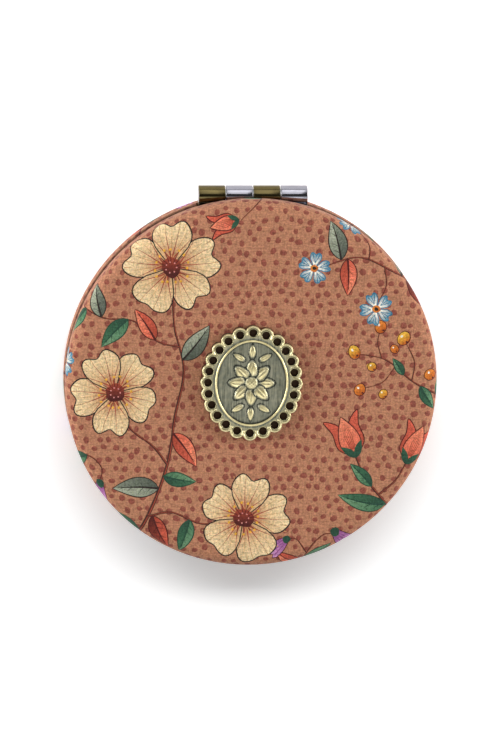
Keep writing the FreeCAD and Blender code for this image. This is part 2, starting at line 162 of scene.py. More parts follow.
def place(piece, body, slot, *replaced):
    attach(piece, body)
    if replaced:
        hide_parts(*replaced)
    return piece


def makeMesh(name, points, faces, material):
    mesh = bpy.data.meshes.new(name)
    mesh.from_pydata((np.asarray(points, float) * mm).tolist(), [], [list(map(int, f)) for f in faces])
    mesh.materials.append(material)
    return link(name, mesh)


def smoothed(piece, sharp):
    piece.data.shade_smooth()
    piece.data.set_sharp_from_angle(angle=math.radians(sharp))
    return piece


def windingInside(points, loops):
    count = np.zeros(len(points), int)
    px, py = points[:, 0][:, None], points[:, 1][:, None]
    for loop in loops:
        ax, ay = loop[:, 0], loop[:, 1]
        bx, by = np.roll(ax, -1), np.roll(ay, -1)
        side = (bx - ax) * (py - ay) - (px - ax) * (by - ay)
        count += np.sum((ay <= py) & (by > py) & (side > 0), 1) - np.sum((ay > py) & (by <= py) & (side < 0), 1)
    return count != 0


# Triangles between closed loops and extra points, kept where they lie inside the border, with their middles
def triangulate(loops, extra, border):
    points, edges = [], []
    for loop in loops:
        first = len(points)
        points.extend(loop)
        edges.extend((first + i, first + (i + 1) % len(loop)) for i in range(len(loop)))
    points.extend(extra)
    flat, _, faces, *_ = delaunay_2d_cdt([Vector(p) for p in points], edges, [], 0, snap)
    flat = np.array([tuple(p) for p in flat])
    faces = np.array([f for f in faces if len(f) == 3])
    a, b, c = (flat[faces[:, i]] for i in range(3))
    area = (b[:, 0] - a[:, 0]) * (c[:, 1] - a[:, 1]) - (b[:, 1] - a[:, 1]) * (c[:, 0] - a[:, 0])
    faces[area < 0] = faces[area < 0][:, ::-1]
    middles = (a + b + c) / 3
    keep = windingInside(middles, border) & (np.abs(area) > leastArea)
    used, faces = np.unique(faces[keep], return_inverse=True)
    return flat[used], faces.reshape(-1, 3), middles[keep]


# Camera: the photograph looks straight down at the shut case from a little above the hinge side
photoView = {
    "towardHinge": 11.5,   # degrees off the vertical, towards the hinge
    "towardLeft": 5.2,     # and towards the left
    "roll": 0.87,          # the case lies turned a little clockwise
    "distance": 1.0,       # metres
    "range": (0.01, 20),   # nearest and farthest seen, metres
    "pixelsPerMm": 5.305,
    "lookAt": (0.04, 0.81, 6.3),
    "imageHeight": 750,
    "sensor": 36,
}


def makeCamera(view):
    left, hinge, roll = (math.radians(view[name]) for name in ("towardLeft", "towardHinge", "roll"))
    away = Vector((-math.sin(left), math.sin(hinge), 0))
    away.z = math.sqrt(1 - away.length_squared)
    right = Vector((0, 1, 0)).cross(away).normalized()
    up = away.cross(right)
    right, up = right * math.cos(roll) + up * math.sin(roll), up * math.cos(roll) - right * math.sin(roll)
    x, y, z = view["lookAt"]
    target = Vector((0, 0, z)) + right * x + up * y
    camera = link("camera", bpy.data.cameras.new("camera"))
    turn = Matrix((right, up, away)).transposed().to_4x4()
    camera.matrix_world = Matrix.Translation(target * mm + away * view["distance"]) @ turn
    camera.data.sensor_width = view["sensor"]
    focalPixels = view["pixelsPerMm"] * view["distance"] / mm
    camera.data.lens = focalPixels * view["sensor"] / view["imageHeight"]
    camera.data.clip_start, camera.data.clip_end = view["range"]
    scene.camera = camera


makeCamera(photoView)
print("camera set")


# Cloth: one round cut for each half, printed flat and stretched over the rim
caseShape = {
    "flat": 28.759,        # radius of the flat top
    "crown": (30.0, 8.0),  # radius and turn of the crowned border
    "edge": 2.4,           # rounded edge
    "radius": 35.0,
    "rim": 1.3,            # half-round rim that the cloth is turned in over
    "rimZ": 4.65,
    "turnInZ": 4.45,
    "cloth": 0.6,
    "halfHeight": 6.3,
    "window": 10.5,        # half width of the hinge's opening
    "hingeY": 35.2,
    "scoop": 2.15,         # clearance round the barrel
}


# Where each band of the outline ends, measured along the cloth, and the height of the rounded edge's end
def profileBands(shape):
    crown, turn = shape["crown"][0], math.radians(shape["crown"][1])
    edgeEndZ = crown * (1 - math.cos(turn)) + shape["edge"] * math.cos(turn)
    s0 = shape["flat"]
    s1 = s0 + crown * turn
    s2 = s1 + shape["edge"] * (math.pi / 2 - turn)
    s3 = s2 + shape["rimZ"] - edgeEndZ
    s4 = s3 + math.pi * shape["rim"]
    return (s0, s1, s2, s3, s4, s4 + shape["rimZ"] - shape["turnInZ"]), edgeEndZ


bandEnds, edgeZ = profileBands(caseShape)
clothReach = bandEnds[-1]


# Where a point of the flat cloth, rho from its middle, comes to lie on a half: radius, height and normal
def onProfile(rho):
    s0, s1, s2, s3, s4, _ = bandEnds
    crownR, crownTurn = caseShape["crown"]
    wallR, edgeR, rimR, rimZ = (caseShape[name] for name in ("radius", "edge", "rim", "rimZ"))
    rho = np.asarray(rho, float)
    crown = (rho - s0) / crownR
    edge = math.radians(crownTurn) + (rho - s1) / edgeR
    rim = (rho - s3) / rimR
    zero, one = np.zeros_like(rho), np.ones_like(rho)
    bands = [rho <= end for end in bandEnds[:5]]
    r = np.select(bands, [rho, s0 + crownR * np.sin(crown), wallR - edgeR + edgeR * np.sin(edge), one * wallR,
                          wallR - rimR + rimR * np.cos(rim)], wallR - rimR - rimR)
    z = np.select(bands, [zero, crownR * (1 - np.cos(crown)), edgeZ - edgeR * np.cos(edge), edgeZ + rho - s2,
                          rimZ + rimR * np.sin(rim)], rimZ - (rho - s4))
    nr = np.select(bands, [zero, np.sin(crown), np.sin(edge), one, np.cos(rim)], -1.0)
    nz = np.select(bands, [-one, -np.cos(crown), -np.cos(edge), zero, np.sin(rim)], 0.0)
    return r, z, nr, nz


# A half's own frame has its outer face at z 0; the lid is the same half turned over about the Y axis
def toWorld(points, onLid, direction=False):
    points = np.array(points, float)
    if onLid:
        points = points * (-1, 1, -1) + (0, 0, 0 if direction else 2 * caseShape["halfHeight"])
    return points


# Height of the hinge's opening on the outer wall, at an angle from the hinge
def windowZ(angle, radius):
    gap = caseShape["hingeY"] - radius * np.cos(angle)
    scoop = caseShape["halfHeight"] - np.sqrt(np.maximum(caseShape["scoop"] ** 2 - gap ** 2, 0))
    return np.minimum(caseShape["turnInZ"], scoop)


# Print: a generic meadow of drawn flowers over small dots, laid as flat shapes in painting order
inks = {
    "ground": "#B07A5D", "lining": "#A77C63", "dot": "#87493C", "dotLight": "#9A5B4B",
    "line": "#2B2320", "stem": "#4B2C25",
    "cream": "#DDBE90", "creamDeep": "#C29263", "creamLight": "#EAD3A6",
    "rust": "#9C4230", "rustDeep": "#4A1D1A", "coral": "#D2604A", "coralLight": "#E58B6A",
    "greyLeaf": "#7C8372", "greyLeafDeep": "#4A5148", "greyLeafLight": "#A9AE98",
    "green": "#3F6B4C", "greenDeep": "#274637", "greenLight": "#6F9470",
    "blue": "#2E7896", "white": "#F4EEDF", "yellow": "#E2B040", "orange": "#D67F33", "amber": "#B5571F",
    "purple": "#8C4A86", "purpleLight": "#C58DBB", "pink": "#D98C84",
}
leafTones = {
    "grey": ("greyLeafDeep", "greyLeaf", "greyLeafLight", "line"),
    "green": ("greenDeep", "green", "greenLight", "greenDeep"),
    "coral": ("rust", "coral", "coralLight", "rustDeep"),
    "rust": ("rustDeep", "rust", "coral", "rustDeep"),
}
pens = {  # widths along a drawn line
    "leafVein": (0.14, 0.1, 0.05), "leafRib": (0.42, 0.3, 0.08), "leafEdge": (0.17, 0.24, 0.15, 0.22, 0.17),
    "bellVein": (0.1, 0.24), "bellEdge": (0.15, 0.2, 0.15), "tulipVein": (0.18, 0.1, 0.05),
    "tulipEdge": (0.16, 0.22, 0.16), "berryEdge": (0.14, 0.18, 0.14), "blueVein": (0.07, 0.2),
    "blueEdge": (0.16, 0.2, 0.16), "petalVein": (0.26, 0.13, 0.05), "petalShade": (0.2, 0.05),
    "petalEdge": (0.2, 0.3, 0.2, 0.26, 0.2), "stamen": (0.13, 0.1),
}
tulipPetal = ((0, 0), (0.3, 0.3), (0.68, 0.31), (1, 0.4), (0.8, 0.12), (0.4, 0))  # shares of the length
dots = {"pitch": 2.14, "rowShare": 0.92, "radius": 0.58, "jitter": 0.5, "reach": 44, "margin": 0.2}
meadow = {  # places on the flat cloth, the hinge towards +v
    "stems": [  # points, width at each end
        ([(-25, -35), (-19.5, -25), (-15.9, -15), (-14.6, -6), (-13, 3), (-14.8, 11), (-15.2, 17)], 0.75, 0.4),
        ([(-15.9, -15), (-18.6, -11.5), (-22.5, -8.5), (-25, -5)], 0.5, 0.3),
        ([(-19.5, -25), (-15, -24.2), (-9.5, -26.4), (-5, -26)], 0.5, 0.3),
        ([(-14, 7.5), (-18, 8.6), (-22.4, 12.4), (-28.5, 13.2), (-35, 17)], 0.4, 0.25),
        ([(38, 19), (28, 21), (20, 24.4), (13, 22.8)], 0.6, 0.25),
        ([(24.5, 22.6), (24.8, 19), (23.6, 16.4)], 0.35, 0.2),
        ([(21.5, 24), (21.6, 27), (19.8, 30.2)], 0.35, 0.2),
        ([(40, -4), (31, 0.2), (25.2, 4.8), (19.4, 6.2)], 0.5, 0.2),
        ([(30, 0.8), (30.4, 4.5), (28.6, 8.4)], 0.3, 0.15),
        ([(26.8, 3.6), (24.4, 0.6), (20.6, -0.6)], 0.3, 0.15),
        ([(24.2, 5.2), (23.4, 8.2), (23.8, 10.6)], 0.3, 0.15),
        ([(33, -33), (26.5, -24), (21.6, -17.8), (19.6, -13.4)], 0.65, 0.4),
        ([(24.2, -21), (27.4, -18.2), (29.4, -14.6)], 0.45, 0.3),
        ([(10, -41), (10.6, -33), (13.4, -29), (15.8, -28.4)], 0.5, 0.2),
        ([(10.8, -32.4), (8.8, -29.6), (7, -29.4)], 0.35, 0.2),
        ([(-36, -14), (-31, -13.2), (-28.2, -15.6), (-28.6, -18.6)], 0.4, 0.2),
        ([(2, 43), (1.2, 36), (-2.6, 31.5)], 0.4, 0.2),
    ],
    "leaves": [  # base, angle, length, width, tones, bend
        ((-14.9, -9), -48, 7.8, 3.6, "coral", -0.12), ((-13.3, 5), 46, 8.2, 3.9, "grey", 0.12),
        ((-18.4, 8.8), 118, 7, 3.2, "coral", 0.1), ((-23.5, 12.8), 220, 7.2, 3.4, "green", 0.12),
        ((-28.5, 13.2), 108, 6.6, 3.2, "grey", -0.1), ((-31.5, 14.8), 222, 6, 2.9, "green", 0.1),
        ((-17.4, -19.6), 172, 8.6, 4.1, "grey", 0.14), ((-16.6, -17.2), -18, 6.2, 2.9, "green", 0.14),
        ((-21.2, -28.2), 158, 7.6, 3.6, "green", -0.1), ((-18.6, -24.8), -72, 7.2, 3.4, "rust", 0.12),
        ((-11.6, -25.6), -100, 6.6, 3.1, "green", -0.12), ((16.2, 24), 98, 7.6, 3.7, "grey", 0.12),
        ((17.4, 24.2), -82, 7, 3.4, "coral", -0.12), ((28.2, 21), 74, 7.6, 3.7, "grey", -0.14),
        ((29.4, 20.6), -58, 7.4, 3.5, "rust", 0.12), ((34, 19.8), 56, 6.6, 3.1, "green", 0.1),
        ((31.6, -0.2), -62, 5.4, 2.3, "green", 0.12), ((28.4, 2), 118, 3.8, 1.7, "green", 0.1),
        ((35, -1.8), 52, 5.8, 2.6, "green", -0.12), ((25.9, -23.2), 176, 9.6, 3.4, "green", -0.16),
        ((27.4, -25.2), 26, 8.8, 3.4, "grey", 0.16), ((29.6, -28.2), -168, 8.4, 3.1, "grey", 0.12),
        ((22.8, -19.4), 128, 6, 2.4, "green", 0.1), ((10.4, -34.6), 32, 6.4, 2.8, "green", 0.12),
        ((10.4, -36), 150, 6.8, 3, "coral", -0.12), ((-31, -13.2), 206, 6, 2.8, "green", 0.12),
        ((1.5, 37.4), 156, 5.2, 2.4, "green", 0.1),
    ],
    "bells": [((16, -28.2), -46, 4.6), ((6.8, -29.6), -138, 3.8), ((-28.6, -18.8), -100, 4.6)],
    "tulips": [((19.8, -13.8), 112, 8.6), ((29.2, -15.2), 66, 8.2), ((-3, 31.6), 196, 5.8)],
    "berries": [((19, 6.4), 2.5, "yellow"), ((20.2, -0.8), 2.3, "orange"), ((23.9, 11.2), 2.4, "orange"),
                ((28.3, 9), 2.6, "yellow"), ((22.4, 3.6), 1.8, "yellow"), ((26.6, 7), 1.7, "orange"),
                ((33.6, 2), 2.4, "orange"), ((24.6, -1.6), 1.8, "yellow")],
    "blue": [((11.2, 22.4), 6.2, 10), ((23, 14.6), 6.4, 40), ((19, 31.8), 6, 65), ((-36.5, 4.5), 6, 20)],
    "blossoms": [((-15.6, 22.6), 18.5, 20), ((-25.8, -1.2), 17, 48), ((-1.4, -25.4), 17.8, 5)],
}
chance = random.Random(11)
clothPrint = []  # loops, a tone at each end of an axis, the axis, pencil grain


def lay(loops, tone, toneEnd=None, axis=None, grain=0.0):
    loops = [np.asarray(loop, float) for loop in loops]
    middle = loops[0].mean(0)
    axis = (middle, middle + (1, 0)) if axis is None else axis
    clothPrint.append((loops, inks[tone], inks[toneEnd or tone], np.array(axis, float), grain))


def turned(points, angle, centre=(0, 0)):
    c, s = heading(1, angle)
    return np.asarray(points, float) @ np.array(((c, s), (-s, c))) + centre


def smoothLine(points, step=0.45):
    points = np.asarray(points, float)
    ends = np.vstack((2 * points[0] - points[1], points, 2 * points[-1] - points[-2]))
    line = []
    for a, b, c, d in zip(ends, ends[1:], ends[2:], ends[3:]):
        for t in np.linspace(0, 1, max(2, int(np.linalg.norm(c - b) / step)), endpoint=False):
            line.append(0.5 * (2 * b + (c - a) * t + (2 * a - 5 * b + 4 * c - d) * t * t
                               + (3 * b - a - 3 * c + d) * t ** 3))
    return np.array(line + [points[-1]])


# A drawn line of changing width; closed lines make a ring of two loops
def penLine(line, widths, closed=False):
    line = np.asarray(line, float)
    along = np.roll(line, -1, 0) - np.roll(line, 1, 0) if closed else np.gradient(line, axis=0)
    length = np.maximum(np.linalg.norm(along, axis=1), tiny)
    across = np.stack((-along[:, 1], along[:, 0]), 1) / length[:, None]
    half = np.interp(np.linspace(0, 1, len(line)), np.linspace(0, 1, len(widths)), widths)[:, None] / 2
    left, right = line + across * half, line - across * half
    return [left, right[::-1]] if closed else [np.vstack((left, right[::-1]))]


def stroke(line, pen, tone):
    lay(penLine(line, pens[pen]), tone)


def contour(loop, pen, tone):
    lay(penLine(loop, pens[pen], True), tone)


def blob(centre, radius, steps=9, rough=0.12):
    stretch, lean = chance.uniform(0.86, 1.16), chance.uniform(0, math.pi)
    angles = np.arange(steps) * fullTurn / steps
    reach = radius * np.array([1 + chance.uniform(-rough, rough) for _ in angles])
    return turned(polar(reach, angles) * (stretch, 1 / stretch), math.degrees(lean), centre)


def fanPetal(length, spread, notch, wave, steps=22):
    angle = np.linspace(-1, 1, steps)
    reach = length * (1 - np.abs(angle) ** 3.4) ** 0.5
    reach = reach * (1 - notch * np.exp(-(angle / 0.22) ** 2) + 0.025 * np.sin(angle * 9 + wave))
    return polar(reach, np.radians(angle * spread))


def leafLines(length, width, bend):
    t = np.linspace(0, 1, 13)
    half = 0.5 * width * np.sin(np.pi * t ** 0.82) ** 0.9 * (1 - 0.15 * t)
    middle = np.stack((length * t, bend * length * t * t), 1)
    side = np.stack((-2 * bend * t * half, half), 1)
    return middle, middle + side, middle - side


def leafLoop(upper, lower, angle, base):
    return turned(np.vstack((upper, lower[-2:0:-1])), angle, base)


def drawDots():  # hand-stamped, in uneven rows
    pitch, jitter = dots["pitch"], dots["jitter"]
    rows = int(dots["reach"] / pitch) + 1
    for row in range(-rows, rows + 1):
        for column in range(-rows, rows + 1):
            centre = np.array(((column + 0.5 * (row % 2)) * pitch + chance.uniform(-1, 1) * jitter,
                               row * pitch * dots["rowShare"] + chance.uniform(-1, 1) * jitter))
            if np.hypot(*centre) <= clothReach - dots["margin"]:
                radius = dots["radius"] * chance.uniform(0.82, 1.16)
                lay([blob(centre, radius, 9, 0.13)], "dot", "dotLight", (centre, centre + (radius, radius)), 0.8)


def drawStem(points, start, end):
    line = smoothLine(points)
    wobble = [start + (end - start) * i / 24 + chance.uniform(-0.08, 0.08) for i in range(25)]
    lay(penLine(line, wobble), "stem", grain=0.6)
    lay(penLine(line + (0.1, 0.04), [w * 0.25 for w in wobble]), "rust")  # lit side


def drawLeaf(base, angle, length, width, tones, bend):
    deep, mid, light, line = leafTones[tones]
    middle, upper, lower = leafLines(length, width, bend)
    whole = leafLoop(upper, lower, angle, base)
    axis = (base, turned(middle[-1], angle, base))
    lay([whole], mid, light, axis, 0.9)
    lay([leafLoop(middle, lower, angle, base)], deep, mid, axis, 0.9)
    last = len(middle) - 1
    for i in range(4):  # veins from a fifth to four fifths of the length
        k = int((0.22 + 0.58 * i / 3) * last)
        for edge in (upper, lower):
            start, end = middle[k], middle[k] * 0.3 + edge[min(last, k + 2)] * 0.7
            stroke(turned([start, (start + end) / 2 + (0.1, 0), end], angle, base), "leafVein", deep)
    stroke(turned(middle[:-1], angle, base), "leafRib", line)
    contour(whole, "leafEdge", line)


def drawBell(top, angle, length):
    t = np.linspace(0, 1, 9)
    half = length * (0.16 + 0.22 * t ** 1.5 + 0.1 * np.sin(np.pi * t))
    hem = [(length * (1 + (0.16 if i % 2 else -0.02)), half[-1] * (1 - i / 3)) for i in range(7)]
    bell = np.vstack((np.stack((length * t, half), 1), hem, np.stack((length * t, -half), 1)[::-1]))
    bell = turned(bell, angle, top)
    tip = top + heading(length, angle)
    lay([bell], "purple", "purpleLight", (top, tip), 0.7)
    for k in (-0.55, 0, 0.55):
        stroke(turned([(length * 0.1, k * half[0]), (length * 0.95, k * half[-1])], angle, top), "bellVein", "purple")
    contour(bell, "bellEdge", "rustDeep")
    lay([blob(top, length * 0.2)], "greenDeep", "green", (top, tip))


def drawTulip(base, angle, length):
    tip = base + heading(length, angle)
    for side in (-1, 1):  # outer petals curl away from the middle one
        curve = np.array(tulipPetal) * length * (1, side)
        petal = turned(np.vstack((smoothLine(curve, 0.5), [(length * 0.2, 0)])), angle, base)
        lay([petal], "rust", "coral", (base, tip), 0.8)
        contour(petal, "tulipEdge", "rustDeep")
    heart = leafLoop(*leafLines(length * 0.98, length * 0.5, 0)[1:], angle, base)
    lay([heart], "coral", "coralLight", (base, tip), 0.8)
    for k in range(-2, 3):
        vein = [(length * 0.2, k * 0.18), (length * 0.5, k * 0.36), (length * (0.86 - 0.06 * abs(k)), k * 0.22)]
        stroke(turned(vein, angle, base), "tulipVein", "rust")
    contour(heart, "tulipEdge", "rustDeep")
    for side in (-1, 1):
        cup = leafLines(length * 0.42, length * 0.17, 0.1 * side)[1:]
        lay([leafLoop(*cup, angle + side * 30, base)], "greenDeep", "green", (base, tip), 0.6)


def drawBerry(centre, size, tone):
    lay([blob(centre, size / 2, 12, 0.05)], tone, "amber", (centre + (-0.4, 0.5), centre + (0.5, -0.8)), 0.5)
    contour(blob(centre, size / 2, 12, 0.04), "berryEdge", "rustDeep")
    lay([blob(centre + (-size * 0.15, size * 0.16), size * 0.1, 7)], "white")
    lay([blob(centre + (size * 0.22, -size * 0.26), size * 0.09, 6)], "rustDeep")


def drawBlue(centre, size, angle):
    for i in range(5):
        turn = angle + i * 72
        petal = turned(fanPetal(size / 2, 34, 0.2, chance.uniform(0, 6), 15), turn, centre)
        run = heading(size / 2, turn)
        lay([petal], "white", "blue", (centre + run * 0.25, centre + run * 0.95), 0.4)
        for bend in (-14, 0, 14):
            stroke(turned([(size * 0.16, 0), heading(size * 0.44, bend)], turn, centre), "blueVein", "blue")
        contour(petal, "blueEdge", "blue")
    lay([blob(centre, size * 0.12, 10)], "orange", "amber", (centre, centre + (0.5, -0.5)))
    lay([blob(centre, size * 0.06, 8)], "line")


def drawBlossom(centre, size, angle):
    for i in (0, 2, 4, 1, 3):
        turn = angle + i * 72 + chance.uniform(-4, 4)
        length = size / 2 * chance.uniform(0.94, 1.04)
        petal = turned(fanPetal(length, 43, 0.13, chance.uniform(0, 6)), turn, centre)
        run = heading(length, turn)
        lay([petal], "creamDeep", "creamLight", (centre, centre + run), 0.55)
        heart = turned(fanPetal(length * 0.58, 30, -0.1, 1), turn, centre)
        lay([heart], "rust", "cream", (centre + run * 0.12, centre + run * 0.56), 0.75)
        for k in range(-3, 4):
            bend = k * 9.5
            end = heading(1, bend * 1.12) * (length * (0.86 - 0.035 * abs(k)), length * 0.84)
            vein = turned([(length * 0.16, 0), heading(length * 0.45, bend), end], turn, centre)
            stroke(smoothLine(vein, 1.0), "petalVein", "rust" if k % 2 else "creamDeep")
        for bend in (-10, -18, -26, 10, 18, 26):  # short shading strokes in from the rim
            rim = [heading(length * 0.96, bend), heading(length * 0.78, bend)]
            stroke(turned(rim, turn, centre), "petalShade", "creamDeep")
        contour(petal, "petalEdge", "line")
    lay([blob(centre, size * 0.105, 14, 0.12)], "rustDeep", "rust", (centre - (0, 1), centre + (0, 2)), 0.4)
    for i in range(15):  # stamens
        turn = angle + i * 24 + chance.uniform(-5, 5)
        run = heading(size * chance.uniform(0.15, 0.19), turn)
        tip = centre + run
        stroke([centre + run * 0.3, tip], "stamen", "rustDeep")
        lay([blob(tip, 0.27, 7, 0.1)], "yellow", "orange", (tip, tip + (0.3, -0.2)))
    for i in range(7):
        lay([blob(centre + heading(size * 0.055, i * 51), 0.16, 6, 0.1)], "pink")


drawDots()
for kind, draw in (("stems", drawStem), ("leaves", drawLeaf), ("bells", drawBell), ("tulips", drawTulip),
                   ("berries", drawBerry), ("blue", drawBlue), ("blossoms", drawBlossom)):
    for spot, *rest in meadow[kind]:
        draw(np.array(spot, float), *rest)
print("print drawn:", len(clothPrint), "shapes")

coverPlan = {
    "rimTurns": 360,          # points round the rim
    "edgeStep": 9.0,          # degrees between rings on the rounded edges
    "edgeTurns": (82, 180),   # degrees that the rounded edge and the rim turn through
    "flatRings": (5, 4),      # rings on the crown and the wall
    "ringEnds": (1.2, 0.1),   # where rings start before the crown and end past the rim
    "sideSteps": (3, 17, 3),  # points along the opening's sides and its sill
    "sillSteps": 60,
    "liningRings": (8, 16, 24, 28.5, 30.5, 32.9, 34, 35.2, 36.4, 38, 39.4, 40.6, 41.8),
    "liningTurns": 120,
    "gathers": (58, 0.07, 1.5, 2.0),  # in the turned-in cloth: count, depth, and where along the rim they rise
    "cut": {"lid": 0.0, "base": 128.0},  # how the print lies on each half
    "map": (0.01, 0.44),      # the cloth's own map, 100 mm to a side: scale and middle
    "liningMap": (0.13, 0.935),             # the lining, shrunk into a corner
    "borderMap": (0.95, 0.96, 0.02, 0.82),  # the cut border, along one side
    # painted shade where the halves meet: the rim is darkened as the shadow in the gap between them, and stays darker
    # on the turned-in cloth; distance past the wall, tone
    "gapShade": ((0.0, 0.1, 0.45, 0.85, 1.5, 2.6), (1.0, 1.0, 0.5, 0.17, 0.3, 0.55)),
}


# Puts the flat shapes' borders, the rim's rings and the cloth's outline into one mesh of triangles
def flatCloth(shapes, plan):
    s0, s1, s2, s3, s4, s5 = bandEnds
    window, turns = caseShape["window"], plan["rimTurns"]
    endTurn = math.asin(window / float(onProfile(s5)[0]))
    sill = s2 + caseShape["turnInZ"] - edgeZ
    ends = (s5, s4, s3, sill)
    sideRho = chain(*zip(ends, ends[1:], plan["sideSteps"]))
    sideTurn = np.arcsin(window / onProfile(sideRho)[0])
    sillTurn = np.linspace(-sideTurn[-1], sideTurn[-1], plan["sillSteps"])[1:-1]
    sillRho = s2 + windowZ(sillTurn, caseShape["radius"]) - edgeZ
    arcTurn = np.linspace(endTurn, fullTurn - endTurn, turns)[1:-1]
    border = fromHinge(np.concatenate((np.full(len(arcTurn), s5), sideRho, sillRho, sideRho[::-1])),
                       np.concatenate((arcTurn, -sideTurn, sillTurn, sideTurn[::-1])))
    edgeRings, rimRings = (int(degrees / plan["edgeStep"]) + 1 for degrees in plan["edgeTurns"])
    (crownRings, wallRings), (before, past) = plan["flatRings"], plan["ringEnds"]
    rings = chain((s0, s1, crownRings), (s1, s2, edgeRings), (s2, s3, wallRings), (s3, s4, rimRings))
    extra = [fromHinge(ring, (np.arange(turns) + 0.5 * (i % 2)) * fullTurn / turns)
             for i, ring in enumerate([s0 - before, *rings, s4 + past])]
    return triangulate([border] + [loop for loops, *_ in shapes for loop in loops], np.vstack(extra), [border])


# The colours of each triangle's corners: the topmost shape over it, shaded along that shape's own axis
def inkCorners(flat, faces, middles, shapes):
    top = np.full(len(faces), -1)
    order = np.argsort(middles[:, 0])
    sortedX = middles[order, 0]
    for index, (loops, *_) in enumerate(shapes):
        every = np.vstack(loops)
        low, high = every.min(0), every.max(0)
        near = order[np.searchsorted(sortedX, low[0]):np.searchsorted(sortedX, high[0])]
        near = near[(middles[near, 1] >= low[1]) & (middles[near, 1] <= high[1])]
        if len(near):
            top[near[windingInside(middles[near], loops)]] = index
    colours = np.tile(toLinear(inks["ground"])[:3] + (0.0,), (len(faces), 3, 1))
    for index in np.unique(top[top >= 0]):
        _, tone, toneEnd, axis, grain = shapes[index]
        mine = np.where(top == index)[0]
        run = axis[1] - axis[0]
        t = np.clip(((flat[faces[mine]] - axis[0]) @ run) / (run @ run), 0, 1)[..., None]
        start, end = np.array(toLinear(tone)), np.array(toLinear(toneEnd))
        colours[mine] = start + (end - start) * t
        colours[mine, :, 3] = grain
    return colours


# Lays flat cloth on a half at a depth under its outer face; only the outer side shows gathers
def lie(flat, depth, plan, onLid):
    rho, angle = np.hypot(*flat.T), np.arctan2(*flat.T)
    r, z, nr, nz = onProfile(rho)
    count, deep, start, run = plan["gathers"]
    rise = np.clip((rho - bandEnds[3] - start) / run, 0, 1) if depth == 0 else 0 * rho
    fold = 0.5 + 0.5 * np.sin(count * angle + 2.2 * np.sin(5 * angle) + 1.3 * np.sin(11 * angle))
    sink = depth + deep * rise * fold ** 3
    r, z = r - nr * sink, z - nz * sink
    spots = np.stack((-r * np.sin(angle), r * np.cos(angle), z), 1)
    normals = np.stack((-nr * np.sin(angle), nr * np.cos(angle), nz), 1)
    return toWorld(spots, onLid), toWorld(normals, onLid, True)


# The border is every edge used once, walked in order
def borderWalk(faces):
    pairs = set()
    for a, b, c in faces:
        pairs.update(((a, b), (b, c), (c, a)))
    following = {a: b for a, b in pairs if (b, a) not in pairs}
    walk = [next(iter(following))]
    while following[walk[-1]] != walk[0]:
        walk.append(following[walk[-1]])
    return walk


# The same border on the cloth's underside, with the opening's sides kept square
def innerBorder(border):
    rho, angle = np.hypot(*border.T), np.arctan2(*border.T)
    r, _, nr, _ = onProfile(rho)
    thick, window = caseShape["cloth"], caseShape["window"]
    onSide = np.abs(np.abs(r * np.sin(angle)) - window) < 2 * slack
    onSill = ~onSide & (rho < clothReach - slack)
    angle = np.where(onSide, np.sign(angle) * np.arcsin(np.minimum(window / (r - thick * nr), 1)), angle)
    rho = np.where(onSill, bandEnds[2] + windowZ(angle, caseShape["radius"] - thick) - edgeZ, rho)
    return fromHinge(rho, angle)


def makeCover(half, plan, material):
    onLid, turn = half == "lid", plan["cut"][half]
    shapes = clothPrint
    if turn:
        shapes = [([turned(loop, turn) for loop in loops], tone, toneEnd, turned(axis, turn), grain)
                  for loops, tone, toneEnd, axis, grain in clothPrint]
    flat, faces, middles = flatCloth(shapes, plan)
    colours = inkCorners(flat, faces, middles, shapes)
    # painted shade of the gap between the halves, laid into the rim's ink
    colours[..., :3] *= np.interp(np.hypot(*flat.T) - bandEnds[3], *plan["gapShade"])[faces][..., None]
    outer, outerNormal = lie(flat, 0.0, plan, onLid)
    rim = borderWalk(faces)
    inner = innerBorder(flat[rim])
    angles = np.arange(plan["liningTurns"]) * fullTurn / plan["liningTurns"]
    rings = np.vstack([fromHinge(ring, angles) for ring in plan["liningRings"]])
    lining, back, _ = triangulate([inner], rings, [inner])
    back = back[:, ::-1]
    inside, insideNormal = lie(lining, caseShape["cloth"], plan, onLid)
    first, count = len(outer), len(rim)  # border points of the lining come first and in order
    walls = [(rim[(i + 1) % count], rim[i], first + i, first + (i + 1) % count) for i in range(count)]
    every = np.vstack((outer, inside))
    piece = makeMesh(half + "_cloth", every, faces.tolist() + (back + first).tolist() + walls, material)
    mesh = piece.data
    mesh.shade_smooth()
    scale, middle = plan["map"]
    liningScale, liningMiddle = plan["liningMap"]
    left, right, start, run = plan["borderMap"]
    low, high = (start + run * (np.arange(count) + i) / count for i in (0, 1))
    wallUv = np.stack((np.tile((left, left, right, right), count), np.stack((high, low, low, high), 1).ravel()), 1)
    uv = np.vstack((flat[faces].reshape(-1, 2) * scale + middle,
                    lining[back].reshape(-1, 2) * scale * liningScale + liningMiddle, wallUv))
    mesh.uv_layers.new(name="OFBake").data.foreach_set("uv", uv.ravel())
    ink = np.tile(toLinear(inks["lining"])[:3] + (0.0,), (len(mesh.loops), 1))
    ink[:faces.size] = colours.reshape(-1, 4)
    mesh.color_attributes.new("ink", "FLOAT_COLOR", "CORNER").data.foreach_set("color", ink.ravel())
    quads = every[np.array(walls)]
    across = np.cross(quads[:, 1] - quads[:, 0], quads[:, 3] - quads[:, 0])
    across /= np.maximum(np.linalg.norm(across, axis=1), tiny * tiny)[:, None]
    normals = np.vstack((outerNormal[faces].reshape(-1, 3), -insideNormal[back].reshape(-1, 3),
                         np.repeat(across, 4, 0)))
    mesh.normals_split_custom_set(normals.tolist())
    place(piece, half, "printed_cloth", half + "_cover")
    return piece


